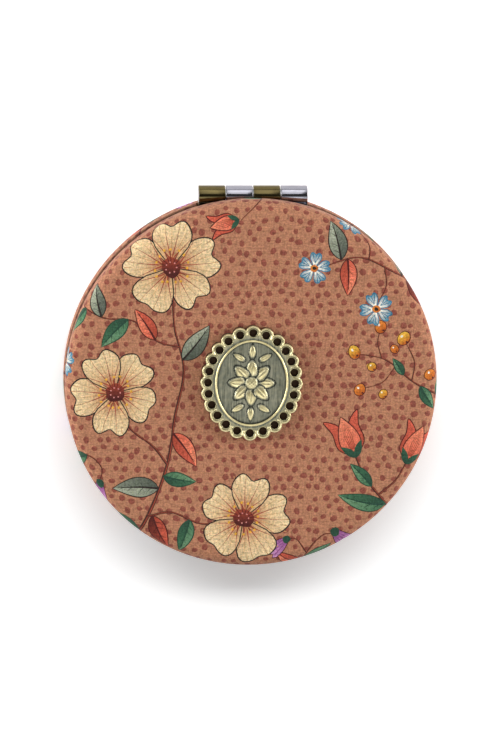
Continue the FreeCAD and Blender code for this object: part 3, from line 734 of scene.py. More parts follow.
# Printed cotton canvas with a soft matt coating: pigment sits in the threads, so the colour breaks up
# finely along warp and weft, and there is next to no sheen on the rounded edge
def printedCotton():
    material, tree = startMaterial("printed cotton, matt coated")
    ink = addNode(tree, "ShaderNodeVertexColor", layer_name="ink").node.outputs
    cloth = stretched(tree, addNode(tree, "ShaderNodeUVMap", uv_map="OFBake"), (100, 100, 1))  # millimetres, flat
    grain = noise(tree, cloth, 2.5, 3, 0.75)
    warp, weft = (noise(tree, stretched(tree, cloth, thread), 1, 2, 0.6)  # threads 0.35 mm wide
                  for thread in ((3.0, 0.6, 1), (0.6, 3.0, 1)))
    weave = maths(tree, "ADD", warp, weft)
    woven = maths(tree, "MULTIPLY_ADD", weave, 0.85, maths(tree, "MULTIPLY_ADD", grain, 1.9, -0.78))
    pencil = maths(tree, "SUBTRACT", noise(tree, cloth, 3.4, 4, 0.8), 0.5)
    tone = maths(tree, "MULTIPLY_ADD", maths(tree, "MULTIPLY", pencil, ink["Alpha"]), 1.8, woven)
    fibre = noise(tree, cloth, 3, 2, out="Color")  # fibres take the dye unevenly
    tint = vectorMaths(tree, "MULTIPLY_ADD", fibre, (0.1, 0.22, 0.38), (0.95, 0.89, 0.81))
    colour = vectorMaths(tree, "MULTIPLY", scaled(tree, ink["Color"], tone), tint)
    height = maths(tree, "MULTIPLY_ADD", grain, 0.6, weave)
    return shaded(material, {
        "Base Color": colour, "Roughness": 0.82, "IOR": 1.46, "Specular IOR Level": 0.25,
        "Sheen Weight": 0.1, "Sheen Roughness": 0.4, "Normal": bump(tree, height, 0.35, 0.08)})


cotton = printedCotton()
for half in ("base", "lid"):
    cover = makeCover(half, coverPlan, cotton)
    print(cover.name, len(cover.data.polygons), "faces")


# A slab between two heights over a flat outline with holes; extra points carry its relief
def makeSlab(name, loops, extra, lowZ, highZ, material, onLid=False):
    flat, faces, _ = triangulate(loops, extra, loops)
    count = len(flat)
    points = np.vstack((np.column_stack((flat, highZ(flat))), np.column_stack((flat, lowZ(flat)))))
    pairs = {(int(f[i]), int(f[(i + 1) % 3])) for f in faces for i in range(3)}
    walls = [(count + i, count + j, j, i) for i, j in pairs if (j, i) not in pairs]
    allFaces = faces.tolist() + (faces[:, ::-1] + count).tolist() + walls
    return smoothed(makeMesh(name, toWorld(points, onLid), allFaces, material), 50)


def circle(radius, count, centre=(0, 0), reverse=False):
    loop = polar(radius, np.arange(count) * fullTurn / count) + centre
    return loop[::-1] if reverse else loop


# A piece turned about the case's axis from a profile of (radius, height)
def makeTurned(name, profile, material, onLid, turns, sharp):
    points, rings = [], []
    for r, z in profile:
        ring = [(x, y, z) for x, y in circle(r, turns)] if r > tiny else [(0, 0, z)]
        rings.append(range(len(points), len(points) + len(ring)))
        points.extend(ring)
    faces = []
    for low, high in zip(rings, rings[1:]):
        for i in range(turns):
            corners = [ring[k % len(ring)] for ring, k in ((low, i), (high, i), (high, i + 1), (low, i + 1))]
            faces.append(dict.fromkeys(corners))  # a ring of one point gives triangles
    piece = makeMesh(name, toWorld(points, onLid), faces, material)
    work = bmesh.new()
    work.from_mesh(piece.data)
    bmesh.ops.recalc_face_normals(work, faces=work.faces)
    work.to_mesh(piece.data)
    work.free()
    return smoothed(piece, sharp)


softening = {"merge": 2e-6, "flat": 0.6, "edge": 32, "sharp": 34}  # metres, then degrees


def applied(holder):
    return bpy.data.meshes.new_from_object(holder.evaluated_get(bpy.context.evaluated_depsgraph_get()))


# A copy of a CAD node with its edges broken, as on a deburred or plated part
def softenedCopy(node, name, width, material, segments=3):
    mesh = nodes[node].data.copy()
    mesh.name = name
    for attribute in [a for a in mesh.attributes if a.name == "custom_normal"]:
        mesh.attributes.remove(attribute)
    work = bmesh.new()
    work.from_mesh(mesh)
    bmesh.ops.remove_doubles(work, verts=work.verts, dist=softening["merge"])
    flat = math.radians(softening["flat"])
    bmesh.ops.dissolve_limit(work, angle_limit=flat, verts=work.verts, edges=work.edges)
    work.to_mesh(mesh)
    work.free()
    mesh.materials.clear()
    mesh.materials.append(material)
    rough = link(name + "_rough", mesh)
    bevel = rough.modifiers.new("broken edges", "BEVEL")
    bevel.width, bevel.segments, bevel.use_clamp_overlap = width * mm, segments, True
    bevel.limit_method, bevel.angle_limit = "ANGLE", math.radians(softening["edge"])
    mesh.shade_smooth()
    finished = applied(rough)
    bpy.data.objects.remove(rough)
    finished.name = name
    finished.set_sharp_from_angle(angle=math.radians(softening["sharp"]))
    return link(name, finished)


# Badge: a cast oval with a scalloped, pierced edge, a bead and a rosette in a brushed, sunken field
badgePlan = {
    "lobes": 24, "oval": (8.2, 9.55), "lobe": 1.4, "eyelet": 0.78,
    "seat": (-0.35, 0.8, -1.0),      # place and turn on the lid
    "bottom": 12.8, "plate": 13.9,
    "lip": (0.42, 0.3, 0.13),        # width, height and rounding of the polished lip round the edge
    "field": (6.47, 7.82, 13.65),    # half width, half length, height
    "bead": (0.45, 0.3),             # width and height
    # angle, reach, half length, half width, rise, lean
    "petals": [(i * 45, 2.728, 1.584, 1.012, 0.40, i * 45) for i in range(8)],
    "sprigs": [(a, 6.02, 1.25, 0.586, 0.35, a) for a in (90, 270)]
              + [(a + s, 5.474, 1.21, 0.547, 0.325, a + s * 2.2) for a in (90, 270) for s in (-27, 27)],
    "boss": (1.232, 0.55, 0.05, 9),  # radius and height; height and pitch of its seeds
    "dome": 0.4,                     # power of a petal's cross-section
    "taper": 0.25,                   # of a petal, towards its tip
    "wash": -0.5,                    # polish of the dark lines beside raised edges
    # painted shade, on top of the dark wash the antiqued casting has there: below these heights the eyelets' walls
    # and the badge's sides turn near black, for the shadow in the holes and under the edge
    "shade": (13.20, 13.66),         # heights between which the eyelets darken
    # where the mesh follows the relief: out from the eyelets, in from the lobes, out from the field, and
    # shares of a petal and of the boss; then the points round each
    "eyeletGuides": (0.06, 0.15),
    "lobeGuides": (0.035, 0.08, 0.13, 0.2, 0.26, 0.31, 0.36, 0.41, 0.46),
    "beadGuides": (-0.14, -0.09, -0.045, 0.0, 0.02, 0.05, 0.1, 0.16, 0.225, 0.29, 0.35, 0.4, 0.43, 0.45, 0.5),
    "petalGuides": (0.998, 0.97, 0.9, 0.78, 0.6),
    "bossGuides": (0.998, 0.96, 0.88, 0.75),
    "steps": {"lobe": 18, "eyelet": 26, "oval": 300, "petal": 44, "boss": 60},
    "fill": (0.15, 0.9093, 75, 66, 0.1),  # points between: pitch, share from row to row, rows, columns, clearance
}


def ovalReach(a, b, angles):
    return a * b / np.sqrt((b * np.cos(angles)) ** 2 + (a * np.sin(angles)) ** 2)


def lobeCentres(plan):
    angles = np.arange(plan["lobes"]) * fullTurn / plan["lobes"]
    return polar(ovalReach(*plan["oval"], angles), angles)


def toNearest(points, centres):
    return np.min(np.hypot(points[:, None, 0] - centres[:, 0], points[:, None, 1] - centres[:, 1]), 1)


# Height of the badge's face, and how far it is polished: 1 is bare brass, 0 and less is left dark
def badgeFace(p, plan, centres):
    x, y = p[:, 0], p[:, 1]
    size = np.hypot(x, y)
    a, b = plan["oval"]
    fromOval = size / np.maximum(np.hypot(x / a, y / b), tiny) - size
    inside = np.maximum(plan["lobe"] - toNearest(p, centres), fromOval)
    width, rise, soft = plan["lip"]
    lip = np.where(inside < soft, 1 - 0.45 * (1 - np.clip(inside, 0, soft) / soft) ** 2,
                   1 - smoothStep((inside - width * 0.6) / (width * 0.5)))
    z = plan["plate"] + rise * lip
    polish = 0.3 + 0.5 * smoothStep(lip * 1.3 - 0.2)
    a, b, fieldZ = plan["field"]
    across = size - size / np.maximum(np.hypot(x / a, y / b), tiny)
    width, rise = plan["bead"]
    t = np.clip((across - width / 2) / (width / 2), -1, 1)
    bead = np.sqrt(1 - t * t)
    z = z + rise * bead
    polish = np.where(np.abs(across - width / 2) < width * 1.2, plan["wash"], polish)
    polish = np.maximum(polish, smoothStep(bead * 2.0 - 0.35))
    z = np.where(across < 0, fieldZ + (plan["plate"] - fieldZ) * (1 - smoothStep(-across / 0.12)), z)
    polish = np.where(across < 0, 0.58 * smoothStep(-across / 0.4) + plan["wash"], polish)
    for angle, reach, length, width, rise, lean in plan["petals"] + plan["sprigs"]:
        u, v = turned(p - heading(reach, angle), -lean).T
        q = (u / length) ** 2 + (v / (width * (1 - plan["taper"] * u / length))) ** 2
        dome = np.clip(1 - q, 0, 1) ** plan["dome"]
        vein = 0.3 * np.exp(-(v / (0.09 * width + 0.03)) ** 2) * smoothStep((0.75 - u / length) * 2)
        top = fieldZ + rise * dome * (1 - vein)
        polish = np.where((q < 1) & (top > z), smoothStep(dome * 1.5 - 0.45) * (1 - 1.6 * vein), polish)
        polish = np.where((q >= 1) & (q < 1.6), np.minimum(polish, plan["wash"]), polish)
        z = np.where(q < 1, np.maximum(z, top), z)
    radius, rise, seed, pitch = plan["boss"]
    q = (size / radius) ** 2
    seeds = np.cos(pitch * x) * np.cos(pitch * y)
    top = fieldZ + (rise - seed + seed * seeds) * np.clip(1 - q, 0, 1) ** plan["dome"]
    polish = np.where((q < 1) & (top > z), smoothStep(1.5 * (1 - q)) * (0.75 + 0.25 * seeds), polish)
    return np.where(q < 1, np.maximum(z, top), z), polish


def seatOnLid(piece, plan):
    x, y, turn = plan["seat"]
    piece.data.transform(Matrix.Translation((x * mm, y * mm, 0)) @ Matrix.Rotation(math.radians(turn), 4, "Z"))
    return piece


def makeBadge(plan, material):
    centres = lobeCentres(plan)
    lobe, eyelet, steps = plan["lobe"], plan["eyelet"], plan["steps"]
    outline, guides = [], []
    for before, centre, after in zip(np.roll(centres, 1, 0), centres, np.roll(centres, -1, 0)):
        bounds = []
        for other in (before, after):  # where neighbouring lobes meet
            middle, half = (centre + other) / 2, np.linalg.norm(other - centre) / 2
            across = np.array((-(other - centre)[1], (other - centre)[0])) / (2 * half)
            meet = middle + across * np.sign(across @ middle) * math.sqrt(lobe ** 2 - half ** 2)
            bounds.append(math.atan2(*(meet - centre)[::-1]))
        start, end = bounds
        sweep = np.linspace(start, end + (fullTurn if end < start else 0), steps["lobe"])
        outline.extend(centre + polar(lobe, sweep[:-1]))
        for inset in plan["lobeGuides"]:
            guides.extend(centre + polar(lobe - inset, sweep[1:-1]))
        for spread in plan["eyeletGuides"]:
            guides.extend(circle(eyelet + spread, steps["eyelet"], centre))
    angles = np.arange(steps["oval"]) * fullTurn / steps["oval"]
    for across in plan["beadGuides"]:
        guides.extend(polar(ovalReach(*plan["field"][:2], angles) + across, angles))
    for angle, reach, length, width, _, lean in plan["petals"] + plan["sprigs"]:
        for scale in plan["petalGuides"]:
            u, v = circle(scale, steps["petal"]).T
            petal = np.stack((length * u, width * v * (1 - plan["taper"] * u)), 1)
            guides.extend(turned(petal, lean, heading(reach, angle)))
    for scale in plan["bossGuides"]:
        guides.extend(circle(plan["boss"][0] * scale, steps["boss"]))
    outline, holes = np.array(outline), [circle(eyelet, steps["eyelet"], centre, True) for centre in centres]
    known = np.vstack([guides, outline] + holes)
    pitch, rowShare, rows, columns, clear = plan["fill"]
    fill = []
    for row in range(-rows, rows + 1):
        x, y = (np.arange(-columns, columns + 1) + 0.5 * (row % 2)) * pitch, row * pitch * rowShare
        near = known[np.abs(known[:, 1] - y) <= clear]
        gap = np.min(np.abs(x[:, None] - near[:, 0]) + np.abs(y - near[:, 1]), 1, initial=1.0)
        fill.extend((spot, y) for spot in x[gap > clear])
    extra = np.vstack((guides, fill))
    extra = extra[(toNearest(extra, centres) > eyelet + 0.02) & windingInside(extra, [outline])]
    piece = makeSlab("badge_casting", [outline] + holes, extra, lambda p: np.full(len(p), plan["bottom"]),
                     lambda p: badgeFace(p, plan, centres)[0], material)
    spots = np.zeros(len(piece.data.vertices) * 3)
    piece.data.vertices.foreach_get("co", spots)
    spots = spots.reshape(-1, 3) / mm
    polish = np.where(spots[:, 2] > plan["bottom"] + 0.3, badgeFace(spots[:, :2], plan, centres)[1], 0.0)
    piece.data.attributes.new("polish", "FLOAT", "POINT").data.foreach_set("value", polish)
    return piece


# Eyelet collars: one thin ring round each of the badge's holes, placed by a node tree
collarPlan = {"Count": badgePlan["lobes"], "Half Width": badgePlan["oval"][0] * mm,
              "Half Length": badgePlan["oval"][1] * mm, "Height": badgePlan["plate"] * mm,
              "Ring Radius": 0.84 * mm, "Wire Radius": 0.06 * mm, "Ring Steps": 28, "Wire Steps": 10, "Polish": 0.62}


def makeCollars(plan, material):
    tree = bpy.data.node_groups.new("eyelet collars", "GeometryNodeTree")
    tree.interface.new_socket("Geometry", in_out="OUTPUT", socket_type="NodeSocketGeometry")
    identifiers = {}
    for name, value in plan.items():
        kind = "NodeSocketInt" if isinstance(value, int) else "NodeSocketFloat"
        identifiers[name] = tree.interface.new_socket(name, in_out="INPUT", socket_type=kind).identifier
    given = addNode(tree, "NodeGroupInput").node.outputs
    share = maths(tree, "DIVIDE", addNode(tree, "GeometryNodeInputIndex"), given["Count"])
    angle = maths(tree, "MULTIPLY", share, fullTurn)
    way = [maths(tree, operation, angle) for operation in ("COSINE", "SINE")]
    ratio = [maths(tree, "DIVIDE", w, given[name]) for w, name in zip(way, ("Half Width", "Half Length"))]
    size = vectorMaths(tree, "LENGTH", addNode(tree, "ShaderNodeCombineXYZ", dict(enumerate(ratio))), out="Value")
    x, y = (maths(tree, "DIVIDE", w, size) for w in way)
    spot = addNode(tree, "ShaderNodeCombineXYZ", {0: x, 1: y, 2: given["Height"]})
    row = addNode(tree, "GeometryNodePoints", {"Count": given["Count"], "Position": spot})
    ring, wire = (addNode(tree, "GeometryNodeCurvePrimitiveCircle",
                          {"Resolution": given[name + " Steps"], "Radius": given[name + " Radius"]})
                  for name in ("Ring", "Wire"))
    collar = addNode(tree, "GeometryNodeCurveToMesh", {"Curve": ring, "Profile Curve": wire})
    placed = addNode(tree, "GeometryNodeInstanceOnPoints", {"Points": row, "Instance": collar})
    real = addNode(tree, "GeometryNodeRealizeInstances", {"Geometry": placed})
    polished = addNode(tree, "GeometryNodeStoreNamedAttribute",
                       {"Geometry": real, "Name": "polish", "Value": given["Polish"]}, domain="POINT")
    finish = addNode(tree, "GeometryNodeSetMaterial", {"Geometry": polished, "Material": material})
    addNode(tree, "NodeGroupOutput", {0: finish})
    holder = link("eyelet_collars", bpy.data.meshes.new("eyelet_collars"))
    modifier = holder.modifiers.new("eyelet collars", "NODES")
    modifier.node_group = tree
    for name, value in plan.items():
        modifier[identifiers[name]] = value
    mesh = applied(holder)
    holder.modifiers.remove(modifier)
    holder.data = mesh
    mesh.name = "eyelet_collars"
    mesh.shade_smooth()
    return holder


# Cast zinc, brass plated and antiqued: dark wash left in the hollows, high spots rubbed back to pale brass,
# and the field brushed up and down
def antiqueBrass():
    material, tree = startMaterial("antique brass, cast and relieved")
    spot = objectSpot(tree)
    polish = addNode(tree, "ShaderNodeAttribute", out="Fac", attribute_name="polish")
    worn = noise(tree, spot, 1400, 3)  # blotches of about 0.7 mm
    level = maths(tree, "ADD", polish, maths(tree, "MULTIPLY_ADD", worn, 0.3, -0.15))
    rubbed = span(tree, level, 0.02, 0.95)
    brush = noise(tree, stretched(tree, spot, (5200, 260, 260)), 1, 4, 0.65)  # lines 0.2 mm apart
    wash = ramp(tree, brush, (0.28, "#4C5048"), (0.5, "#76796B"), (0.72, "#A6A391"))
    bright = ramp(tree, worn, (0.3, "#D0C38F"), (0.7, "#E8DCAE"))
    hollow = span(tree, level, -0.5, 0.0, 0.22, 1.0)
    lined = blend(tree, 1.0, blend(tree, rubbed, wash, bright), hollow, blend_type="MULTIPLY")
    # painted shade: below a given height the walls blend to near black, for the shadow in the eyelets and under the
    # badge's edge
    height = addNode(tree, "ShaderNodeSeparateXYZ", {0: spot}, "Z")
    lit = span(tree, height, *(z * mm for z in badgePlan["shade"]))
    colour = blend(tree, lit, toLinear("#1B1511"), lined)
    brushed = maths(tree, "SUBTRACT", 0.3, rubbed, use_clamp=True)
    return shaded(material, {"Metallic": 1.0, "Base Color": colour, "Normal": bump(tree, brush, brushed, 0.02),
                             "Roughness": span(tree, rubbed, low=0.5, high=0.37)})


brass = antiqueBrass()
badge = place(seatOnLid(makeBadge(badgePlan, brass), badgePlan), "lid", "antique_brass", "badge")
collars = place(seatOnLid(makeCollars(collarPlan, brass), badgePlan), "lid", "antique_brass")
print("badge cast:", len(badge.data.polygons), "faces, collars", len(collars.data.polygons))


# Sheet metal, rolled then plated: fine draw lines run along the barrel and handling shows as faint cloudy wear
def platedSheet(name, low, high, rough, wearTone):
    material, tree = startMaterial(name)
    spot = objectSpot(tree)
    draw = noise(tree, stretched(tree, spot, (150, 6000, 6000)), 1, 2)  # lines 0.15 mm apart
    cloud = noise(tree, spot, 420, 4, 0.65)  # clouds of 2 mm
    wear = span(tree, cloud, 0.5, 0.8, high=0.55)
    colour = blend(tree, wear, ramp(tree, draw, (0.3, low), (0.7, high)), toLinear(wearTone))
    return shaded(material, {"Metallic": 1.0, "Base Color": colour, "Normal": bump(tree, draw, 0.2, 0.01),
                             "Roughness": span(tree, cloud, 0.3, 0.7, rough * 0.8, rough * 1.35)})


hingePlan = {"edge": 0.12}  # the lid's leaf is bright, the base's bronzed
nickel = platedSheet("bright nickel on rolled steel", "#92919A", "#A1A0A8", 0.12, "#807F87")
bronzed = platedSheet("bronzed steel, rolled", "#554B31", "#6B603E", 0.17, "#3A3323")
for half, metal, slot in (("lid", nickel, "nickel_leaf"), ("base", bronzed, "bronzed_leaf")):
    leaf = softenedCopy(half + "_hinge_leaf", half + "_rolled_leaf", hingePlan["edge"], metal)
    place(leaf, half, slot, half + "_hinge_leaf")
print("hinge leaves rolled")


# Trim ring: brass-plated and spun, so its lines run round the ring
def spunBrass():
    material, tree = startMaterial("pale brass plate, spun")
    spot = objectSpot(tree)
    size = vectorMaths(tree, "LENGTH", vectorMaths(tree, "MULTIPLY", spot, (1, 1, 0)), out="Value")
    rings = addNode(tree, "ShaderNodeTexNoise", {"W": size, "Scale": 9000, "Detail": 2}, "Fac",
                    noise_dimensions="1D")  # lines 0.1 mm apart
    return shaded(material, {
        "Metallic": 1.0, "Base Color": ramp(tree, rings, (0.3, "#C9B67C"), (0.7, "#DCCB94")),
        "Roughness": span(tree, noise(tree, spot, 160, 3), 0.3, 0.7, 0.17, 0.3),
        "Normal": bump(tree, rings, 0.25, 0.01)})


bezelPlan = {"edge": 0.07}
trim = spunBrass()
for half in ("lid", "base"):
    ring = softenedCopy(half + "_bezel", half + "_trim_ring", bezelPlan["edge"], trim, 2)
    place(ring, half, "plated_trim", half + "_bezel")
print("trim rings spun")


# Silvered float glass: a clean silver reflection under clear glass, with the faint cool tint of iron and
# a few wipe marks
def silveredGlass():
    material, tree = startMaterial("silvered float glass, polished")
    wipe = noise(tree, stretched(tree, objectSpot(tree), (25, 110, 25), 0.6), 1, 3)  # marks 10 mm wide
    return shaded(material, {
        "Metallic": 1.0, "Coat Weight": 0.6, "Coat Roughness": 0.01, "Coat IOR": 1.52,
        "Base Color": ramp(tree, wipe, (0.35, "#DCE3E1"), (0.65, "#E4EAE8")),
        "Roughness": span(tree, wipe, 0.4, 0.8, 0.012, 0.05)})


glassPlan = {"radius": 31.0, "back": 4.3, "front": 5.6, "arris": 0.15, "sag": {"lid": 0.0, "base": 0.8},
             "rings": 28, "turns": 200, "sharp": 25}


def makeMirror(half, plan, material):
    r, sag, arris = plan["radius"], plan["sag"][half], plan["arris"]
    front, back = plan["front"], plan["back"]
    ball = (r * r + sag * sag) / (2 * sag) if sag else 0

    def bowl(radius, rim, extra=0.0):  # part of a sphere through the rim
        if not sag:
            return rim
        return rim + math.sqrt((ball + extra) ** 2 - r * r) - math.sqrt((ball + extra) ** 2 - radius * radius)

    if sag:
        back = front + math.sqrt(ball ** 2 - r * r) - math.sqrt((ball + front - back) ** 2 - r * r)
    steps = np.linspace(0, r - arris, plan["rings"])
    profile = [(s, bowl(s, back, front - plan["back"])) for s in steps]
    profile += [(r, back + arris), (r, front - arris)] + [(s, bowl(s, front)) for s in steps[::-1]]
    name, onLid = half + "_silvered_glass", half == "lid"
    glass = makeTurned(name, profile, material, onLid, plan["turns"], plan["sharp"])
    place(glass, half, "mirror_glass", half + "_mirror")


mirrorGlass = silveredGlass()
for half in ("lid", "base"):
    makeMirror(half, glassPlan, mirrorGlass)
print("mirrors set")


# Closed-cell foam sheet: matt, slightly uneven, with cells just large enough to see
def cellFoam():
    material, tree = startMaterial("closed-cell foam, die cut")
    spot = objectSpot(tree)
    cells = addNode(tree, "ShaderNodeTexVoronoi", {"Vector": spot, "Scale": 2600}, "Distance")  # cells of 0.4 mm
    tone = ramp(tree, cells, (0.0, "#E2DDD2"), (0.6, "#CFC9BC"))
    colour = scaled(tree, tone, span(tree, noise(tree, spot, 180, 3), low=0.88, high=1.06))
    return shaded(material, {"Base Color": colour, "Roughness": 0.92, "IOR": 1.4, "Specular IOR Level": 0.25,
                             "Normal": bump(tree, cells, 0.5, 0.06, invert=True)})


foamPlan = {
    "padding": {"low": 0.6, "high": 1.4, "radius": 32.85, "soft": 0.2, "clear": 0.02,
                "cut": (0.02, 0.04, 0.08),   # inset, lift and climb of the lower corner
                "wave": (0.015, 0.9, 0.8),   # depth, turn per millimetre and margin of the uneven face
                "turns": 160, "sharp": 45},
    "bed": {"low": 2.6, "high": 4.3, "radius": 30.8, "notch": (8.3, 25.05), "hole": (4.3, -23.0), "soft": 0.3,
            "clear": 0.02, "ball": (602.325, 605.825),  # the base's bed is dished to the glass
            "insets": (0.1, 0.3, 0.6), "rings": (2, 30, 1.6),
            "steps": {"rim": 150, "side": 8, "sill": 18, "hole": 48}},
}


def makePadding(half, plan, material):
    clear, soft = plan["clear"], plan["soft"]
    low, high, end = plan["low"] + clear, plan["high"] - clear, plan["radius"] - clear
    s0, s1 = bandEnds[:2]
    r, z, nr, nz = onProfile(chain((0, s0, 16), (s0, s1, 12))[:-1])
    under = list(zip(r - low * nr, z - low * nz))
    inset, lift, climb = plan["cut"]
    lastZ = under[-1][1] + lift
    corner = [(end - inset, lastZ), (end, lastZ + climb), (end, high - soft),
              (end - soft * 0.3, high - soft * 0.3), (end - soft, high)]
    depth, turn, margin = plan["wave"]
    face = [(s, high - depth * math.sin(s * turn) ** 2) for s in np.linspace(end - soft - margin, 0, 24)]
    name, profile = half + "_foam_sheet", under + corner + face
    piece = makeTurned(name, profile, material, half == "lid", plan["turns"], plan["sharp"])
    place(piece, half, "foam", half + "_padding")


def makeBed(half, plan, material):
    soft, clear, steps = plan["soft"], plan["clear"], plan["steps"]
    radius, wide, start = plan["radius"] - clear, plan["notch"][0] + clear, plan["notch"][1] - clear
    holeR, hole = plan["hole"][0] + clear, (0, plan["hole"][1])

    def outline(inset):
        inner, side, sill = radius - inset, wide + inset, start - inset
        gap = math.asin(side / inner)
        top = inner * math.cos(gap)
        loop = polar(inner, np.linspace(math.pi / 2 + gap, 2.5 * math.pi - gap, steps["rim"])).tolist()
        loop += [(side, y) for y in np.linspace(top, sill, steps["side"])[1:]]
        loop += [(x, sill) for x in np.linspace(side, -side, steps["sill"])[1:]]
        loop += [(-side, y) for y in np.linspace(sill, top, steps["side"])[1:-1]]
        return np.array(loop)

    def fromHole(p):
        return np.hypot(*(p - hole).T) - holeR

    def pressed(p):  # cut edges of foam draw in a little
        sides = np.maximum(np.abs(p[:, 0]) - wide, start - p[:, 1])
        gap = np.minimum(np.minimum(radius - np.hypot(*p.T), fromHole(p)), np.maximum(sides, 0))
        return soft * 0.5 * np.clip(1 - gap / soft, 0, 1) ** 2

    def high(p):
        ball, ballZ = plan["ball"]
        face = ballZ - np.sqrt(ball ** 2 - np.hypot(*p.T) ** 2) if half == "base" else np.full(len(p), plan["high"])
        return face - clear - pressed(p)

    edge = outline(0.0)
    extra = np.vstack([outline(s) for s in plan["insets"]]
                      + [circle(holeR + s, steps["hole"], hole) for s in plan["insets"]]
                      + [circle(s, max(12, int(s * 4))) for s in np.arange(*plan["rings"])])
    extra = extra[windingInside(extra, [edge]) & (fromHole(extra) > 0.05)]
    piece = makeSlab(half + "_foam_bed", [edge, circle(holeR, steps["hole"], hole, True)], extra,
                     lambda p: plan["low"] + clear + pressed(p), high, material, half == "lid")
    place(piece, half, "foam", half + "_mirror_pad")


foam = cellFoam()
for half in ("lid", "base"):
    makePadding(half, foamPlan["padding"], foam)
    makeBed(half, foamPlan["bed"], foam)
print("foam cut")


# Moulded ABS with a fine spark finish from the tool
def mouldedAbs():
    material, tree = startMaterial("ABS, moulded with spark finish")
    spot = objectSpot(tree)
    spark = noise(tree, spot, 5200, 2)  # pits of 0.2 mm
    flow = ramp(tree, noise(tree, spot, 90, 2), (0.3, "#2A221E"), (0.7, "#332A25"))
    return shaded(material, {"Base Color": flow, "Roughness": span(tree, spark, low=0.42, high=0.62), "IOR": 1.53,
                             "Normal": bump(tree, spark, 0.4, 0.02)})


# Acrylic foam tape, dark brown: dull, with a slight gel look at its cut edge
def foamTape():
    material, tree = startMaterial("acrylic foam tape, dark brown")
    cells = noise(tree, objectSpot(tree), 3800, 2)  # cells of 0.25 mm
    return shaded(material, {"Base Color": ramp(tree, cells, (0.3, "#4A3526"), (0.7, "#5E4534")), "IOR": 1.47,
                             "Specular IOR Level": 0.3, "Roughness": span(tree, cells, low=0.7, high=0.9)})


# Rivets and pin in zinc plate, magnets in dull nickel
steel = platedSheet("zinc-plated steel, headed", "#A6A8AA", "#BDBFC0", 0.3, "#8C8E8F")
magnetPlate = platedSheet("nickel plate on sintered magnet", "#BDBBB6", "#CFCDC9", 0.2, "#A5A39F")
plainNodes = (
    (mouldedAbs(), ("lid_shell", "base_shell")), (magnetPlate, ("lid_magnet", "base_magnet")),
    (steel, ("lid_leaf_rivets", "base_leaf_rivets", "hinge_pin")), (foamTape(), ("badge_tape",)),
)
for material, names in plainNodes:
    for name in names:
        for holder in nodes[name].material_slots:
            holder.material = material
print("carried-over nodes finished")


# Stage: a white sweep, a softbox on each side, one in front and a strip over the hinge; the sweep has a lamp of
# its own, so that its only shadow falls towards the front
studio = {
    "floor": 3.0,                      # half width, metres
    "lamps": {                         # place, width, height, watts, colour
        "left": ((-0.86, 0.18, 0.29), 0.5, 0.5, 8.0, "#FFFDFA"),
        "right": ((0.86, 0.14, 0.29), 0.5, 0.5, 7.4, "#FFFDFA"),
        "strip": ((0.06, 0.67, 0.60), 0.4, 0.75, 1.5, "#FFFFFF"),
        "front": ((0.0, -0.60, 0.97), 0.7, 0.7, 1.8, "#FFFFFF"),
    },
    "sweep": ((0.0, 0.9, 0.95), 2.8, 0.55, 29.0, "#FFFFFF"),
    "paper": "#FDFDFD",
    "glow": 0.33,                      # lifts the lit sweep to white
    "world": 0.22,
    "overhead": (0.45, 0.9, 0.9, 0.06),   # what metal sees: a white room, dark overhead
    "forward": (-0.3, -0.02, 1.0, 0.0),   # and white towards the front
}


def makeLamp(name, spot, width, height, watts, colour):
    lamp = bpy.data.lights.new(name, "AREA")
    lamp.shape, lamp.size, lamp.size_y = "RECTANGLE", width, height
    lamp.energy, lamp.color = watts, toLinear(colour)[:3]
    holder = link(name, lamp)
    holder.location = spot
    holder.rotation_euler = (-Vector(spot)).to_track_quat("-Z", "Y").to_euler()
    return holder


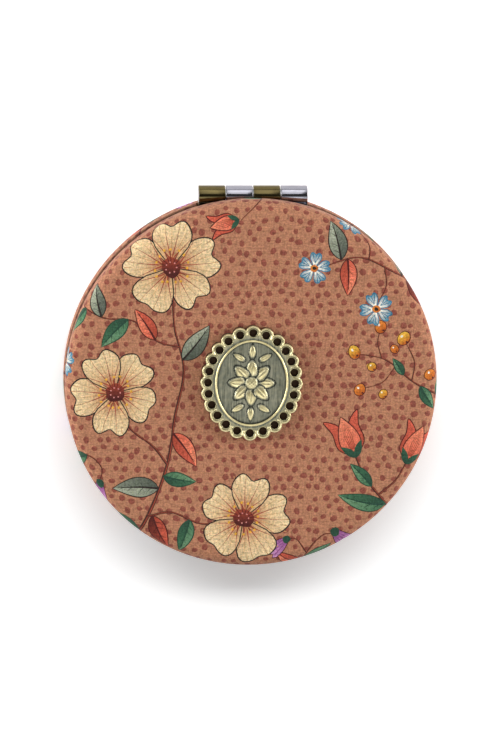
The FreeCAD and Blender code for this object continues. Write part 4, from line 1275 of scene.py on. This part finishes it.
def makeFloor(plan):
    reach = plan["floor"]
    mesh = bpy.data.meshes.new("studio_floor")
    corners = [(x * reach, y * reach, 0) for x, y in ((-1, -1), (1, -1), (1, 1), (-1, 1))]
    mesh.from_pydata(corners, [], [(0, 1, 2, 3)])
    material, tree = startMaterial("white paper sweep, matt")
    seen = addNode(tree, "ShaderNodeLightPath").node.outputs
    either = maths(tree, "MAXIMUM", seen["Is Camera Ray"], seen["Is Glossy Ray"])
    straight = maths(tree, "MAXIMUM", either, seen["Is Transmission Ray"])
    paper = addNode(tree, "ShaderNodeBsdfDiffuse", {"Color": toLinear(plan["paper"])})
    strength = maths(tree, "MULTIPLY", straight, plan["glow"])
    glow = addNode(tree, "ShaderNodeEmission", {"Color": white, "Strength": strength})
    both = addNode(tree, "ShaderNodeAddShader", {0: paper, 1: glow})
    addNode(tree, "ShaderNodeOutputMaterial", {"Surface": both})
    mesh.materials.append(material)
    floor = link("studio_floor", mesh)
    return floor


def makeLamps(plan, floor):
    onlySweep = bpy.data.collections.new("lit by the sweep lamp")
    onlySweep.objects.link(floor)
    allButSweep = bpy.data.collections.new("left out by the softboxes")
    allButSweep.objects.link(floor)
    allButSweep.collection_objects[0].light_linking.link_state = "EXCLUDE"
    makeLamp("sweep_lamp", *plan["sweep"]).light_linking.receiver_collection = onlySweep
    for name, setting in plan["lamps"].items():
        makeLamp(name + "_softbox", *setting).light_linking.receiver_collection = allButSweep


def makeWorld(plan):
    scene.world = bpy.data.worlds.new("studio")
    scene.world.use_nodes = True
    tree = scene.world.node_tree
    tree.nodes.clear()
    seen = addNode(tree, "ShaderNodeLightPath").node.outputs
    either = maths(tree, "MAXIMUM", seen["Is Camera Ray"], seen["Is Transmission Ray"])
    spot = addNode(tree, "ShaderNodeTexCoord", out="Generated")
    way = addNode(tree, "ShaderNodeSeparateXYZ", {0: spot}).node.outputs
    room = span(tree, way["Z"], *plan["overhead"], interpolation_type="SMOOTHSTEP")
    front = span(tree, way["Y"], *plan["forward"], interpolation_type="SMOOTHSTEP")
    mirrored = maths(tree, "MAXIMUM", room, front)
    fill = addNode(tree, "ShaderNodeMix", {0: seen["Is Glossy Ray"], 2: plan["world"], 3: mirrored})
    dim, bright = (addNode(tree, "ShaderNodeBackground", {"Color": white, "Strength": s}) for s in (fill, 1.0))
    mixed = addNode(tree, "ShaderNodeMixShader", {0: either, 1: dim, 2: bright})
    addNode(tree, "ShaderNodeOutputWorld", {"Surface": mixed})


makeLamps(studio, makeFloor(studio))
makeWorld(studio)
scene.view_settings.view_transform = "Standard"
print("stage set")
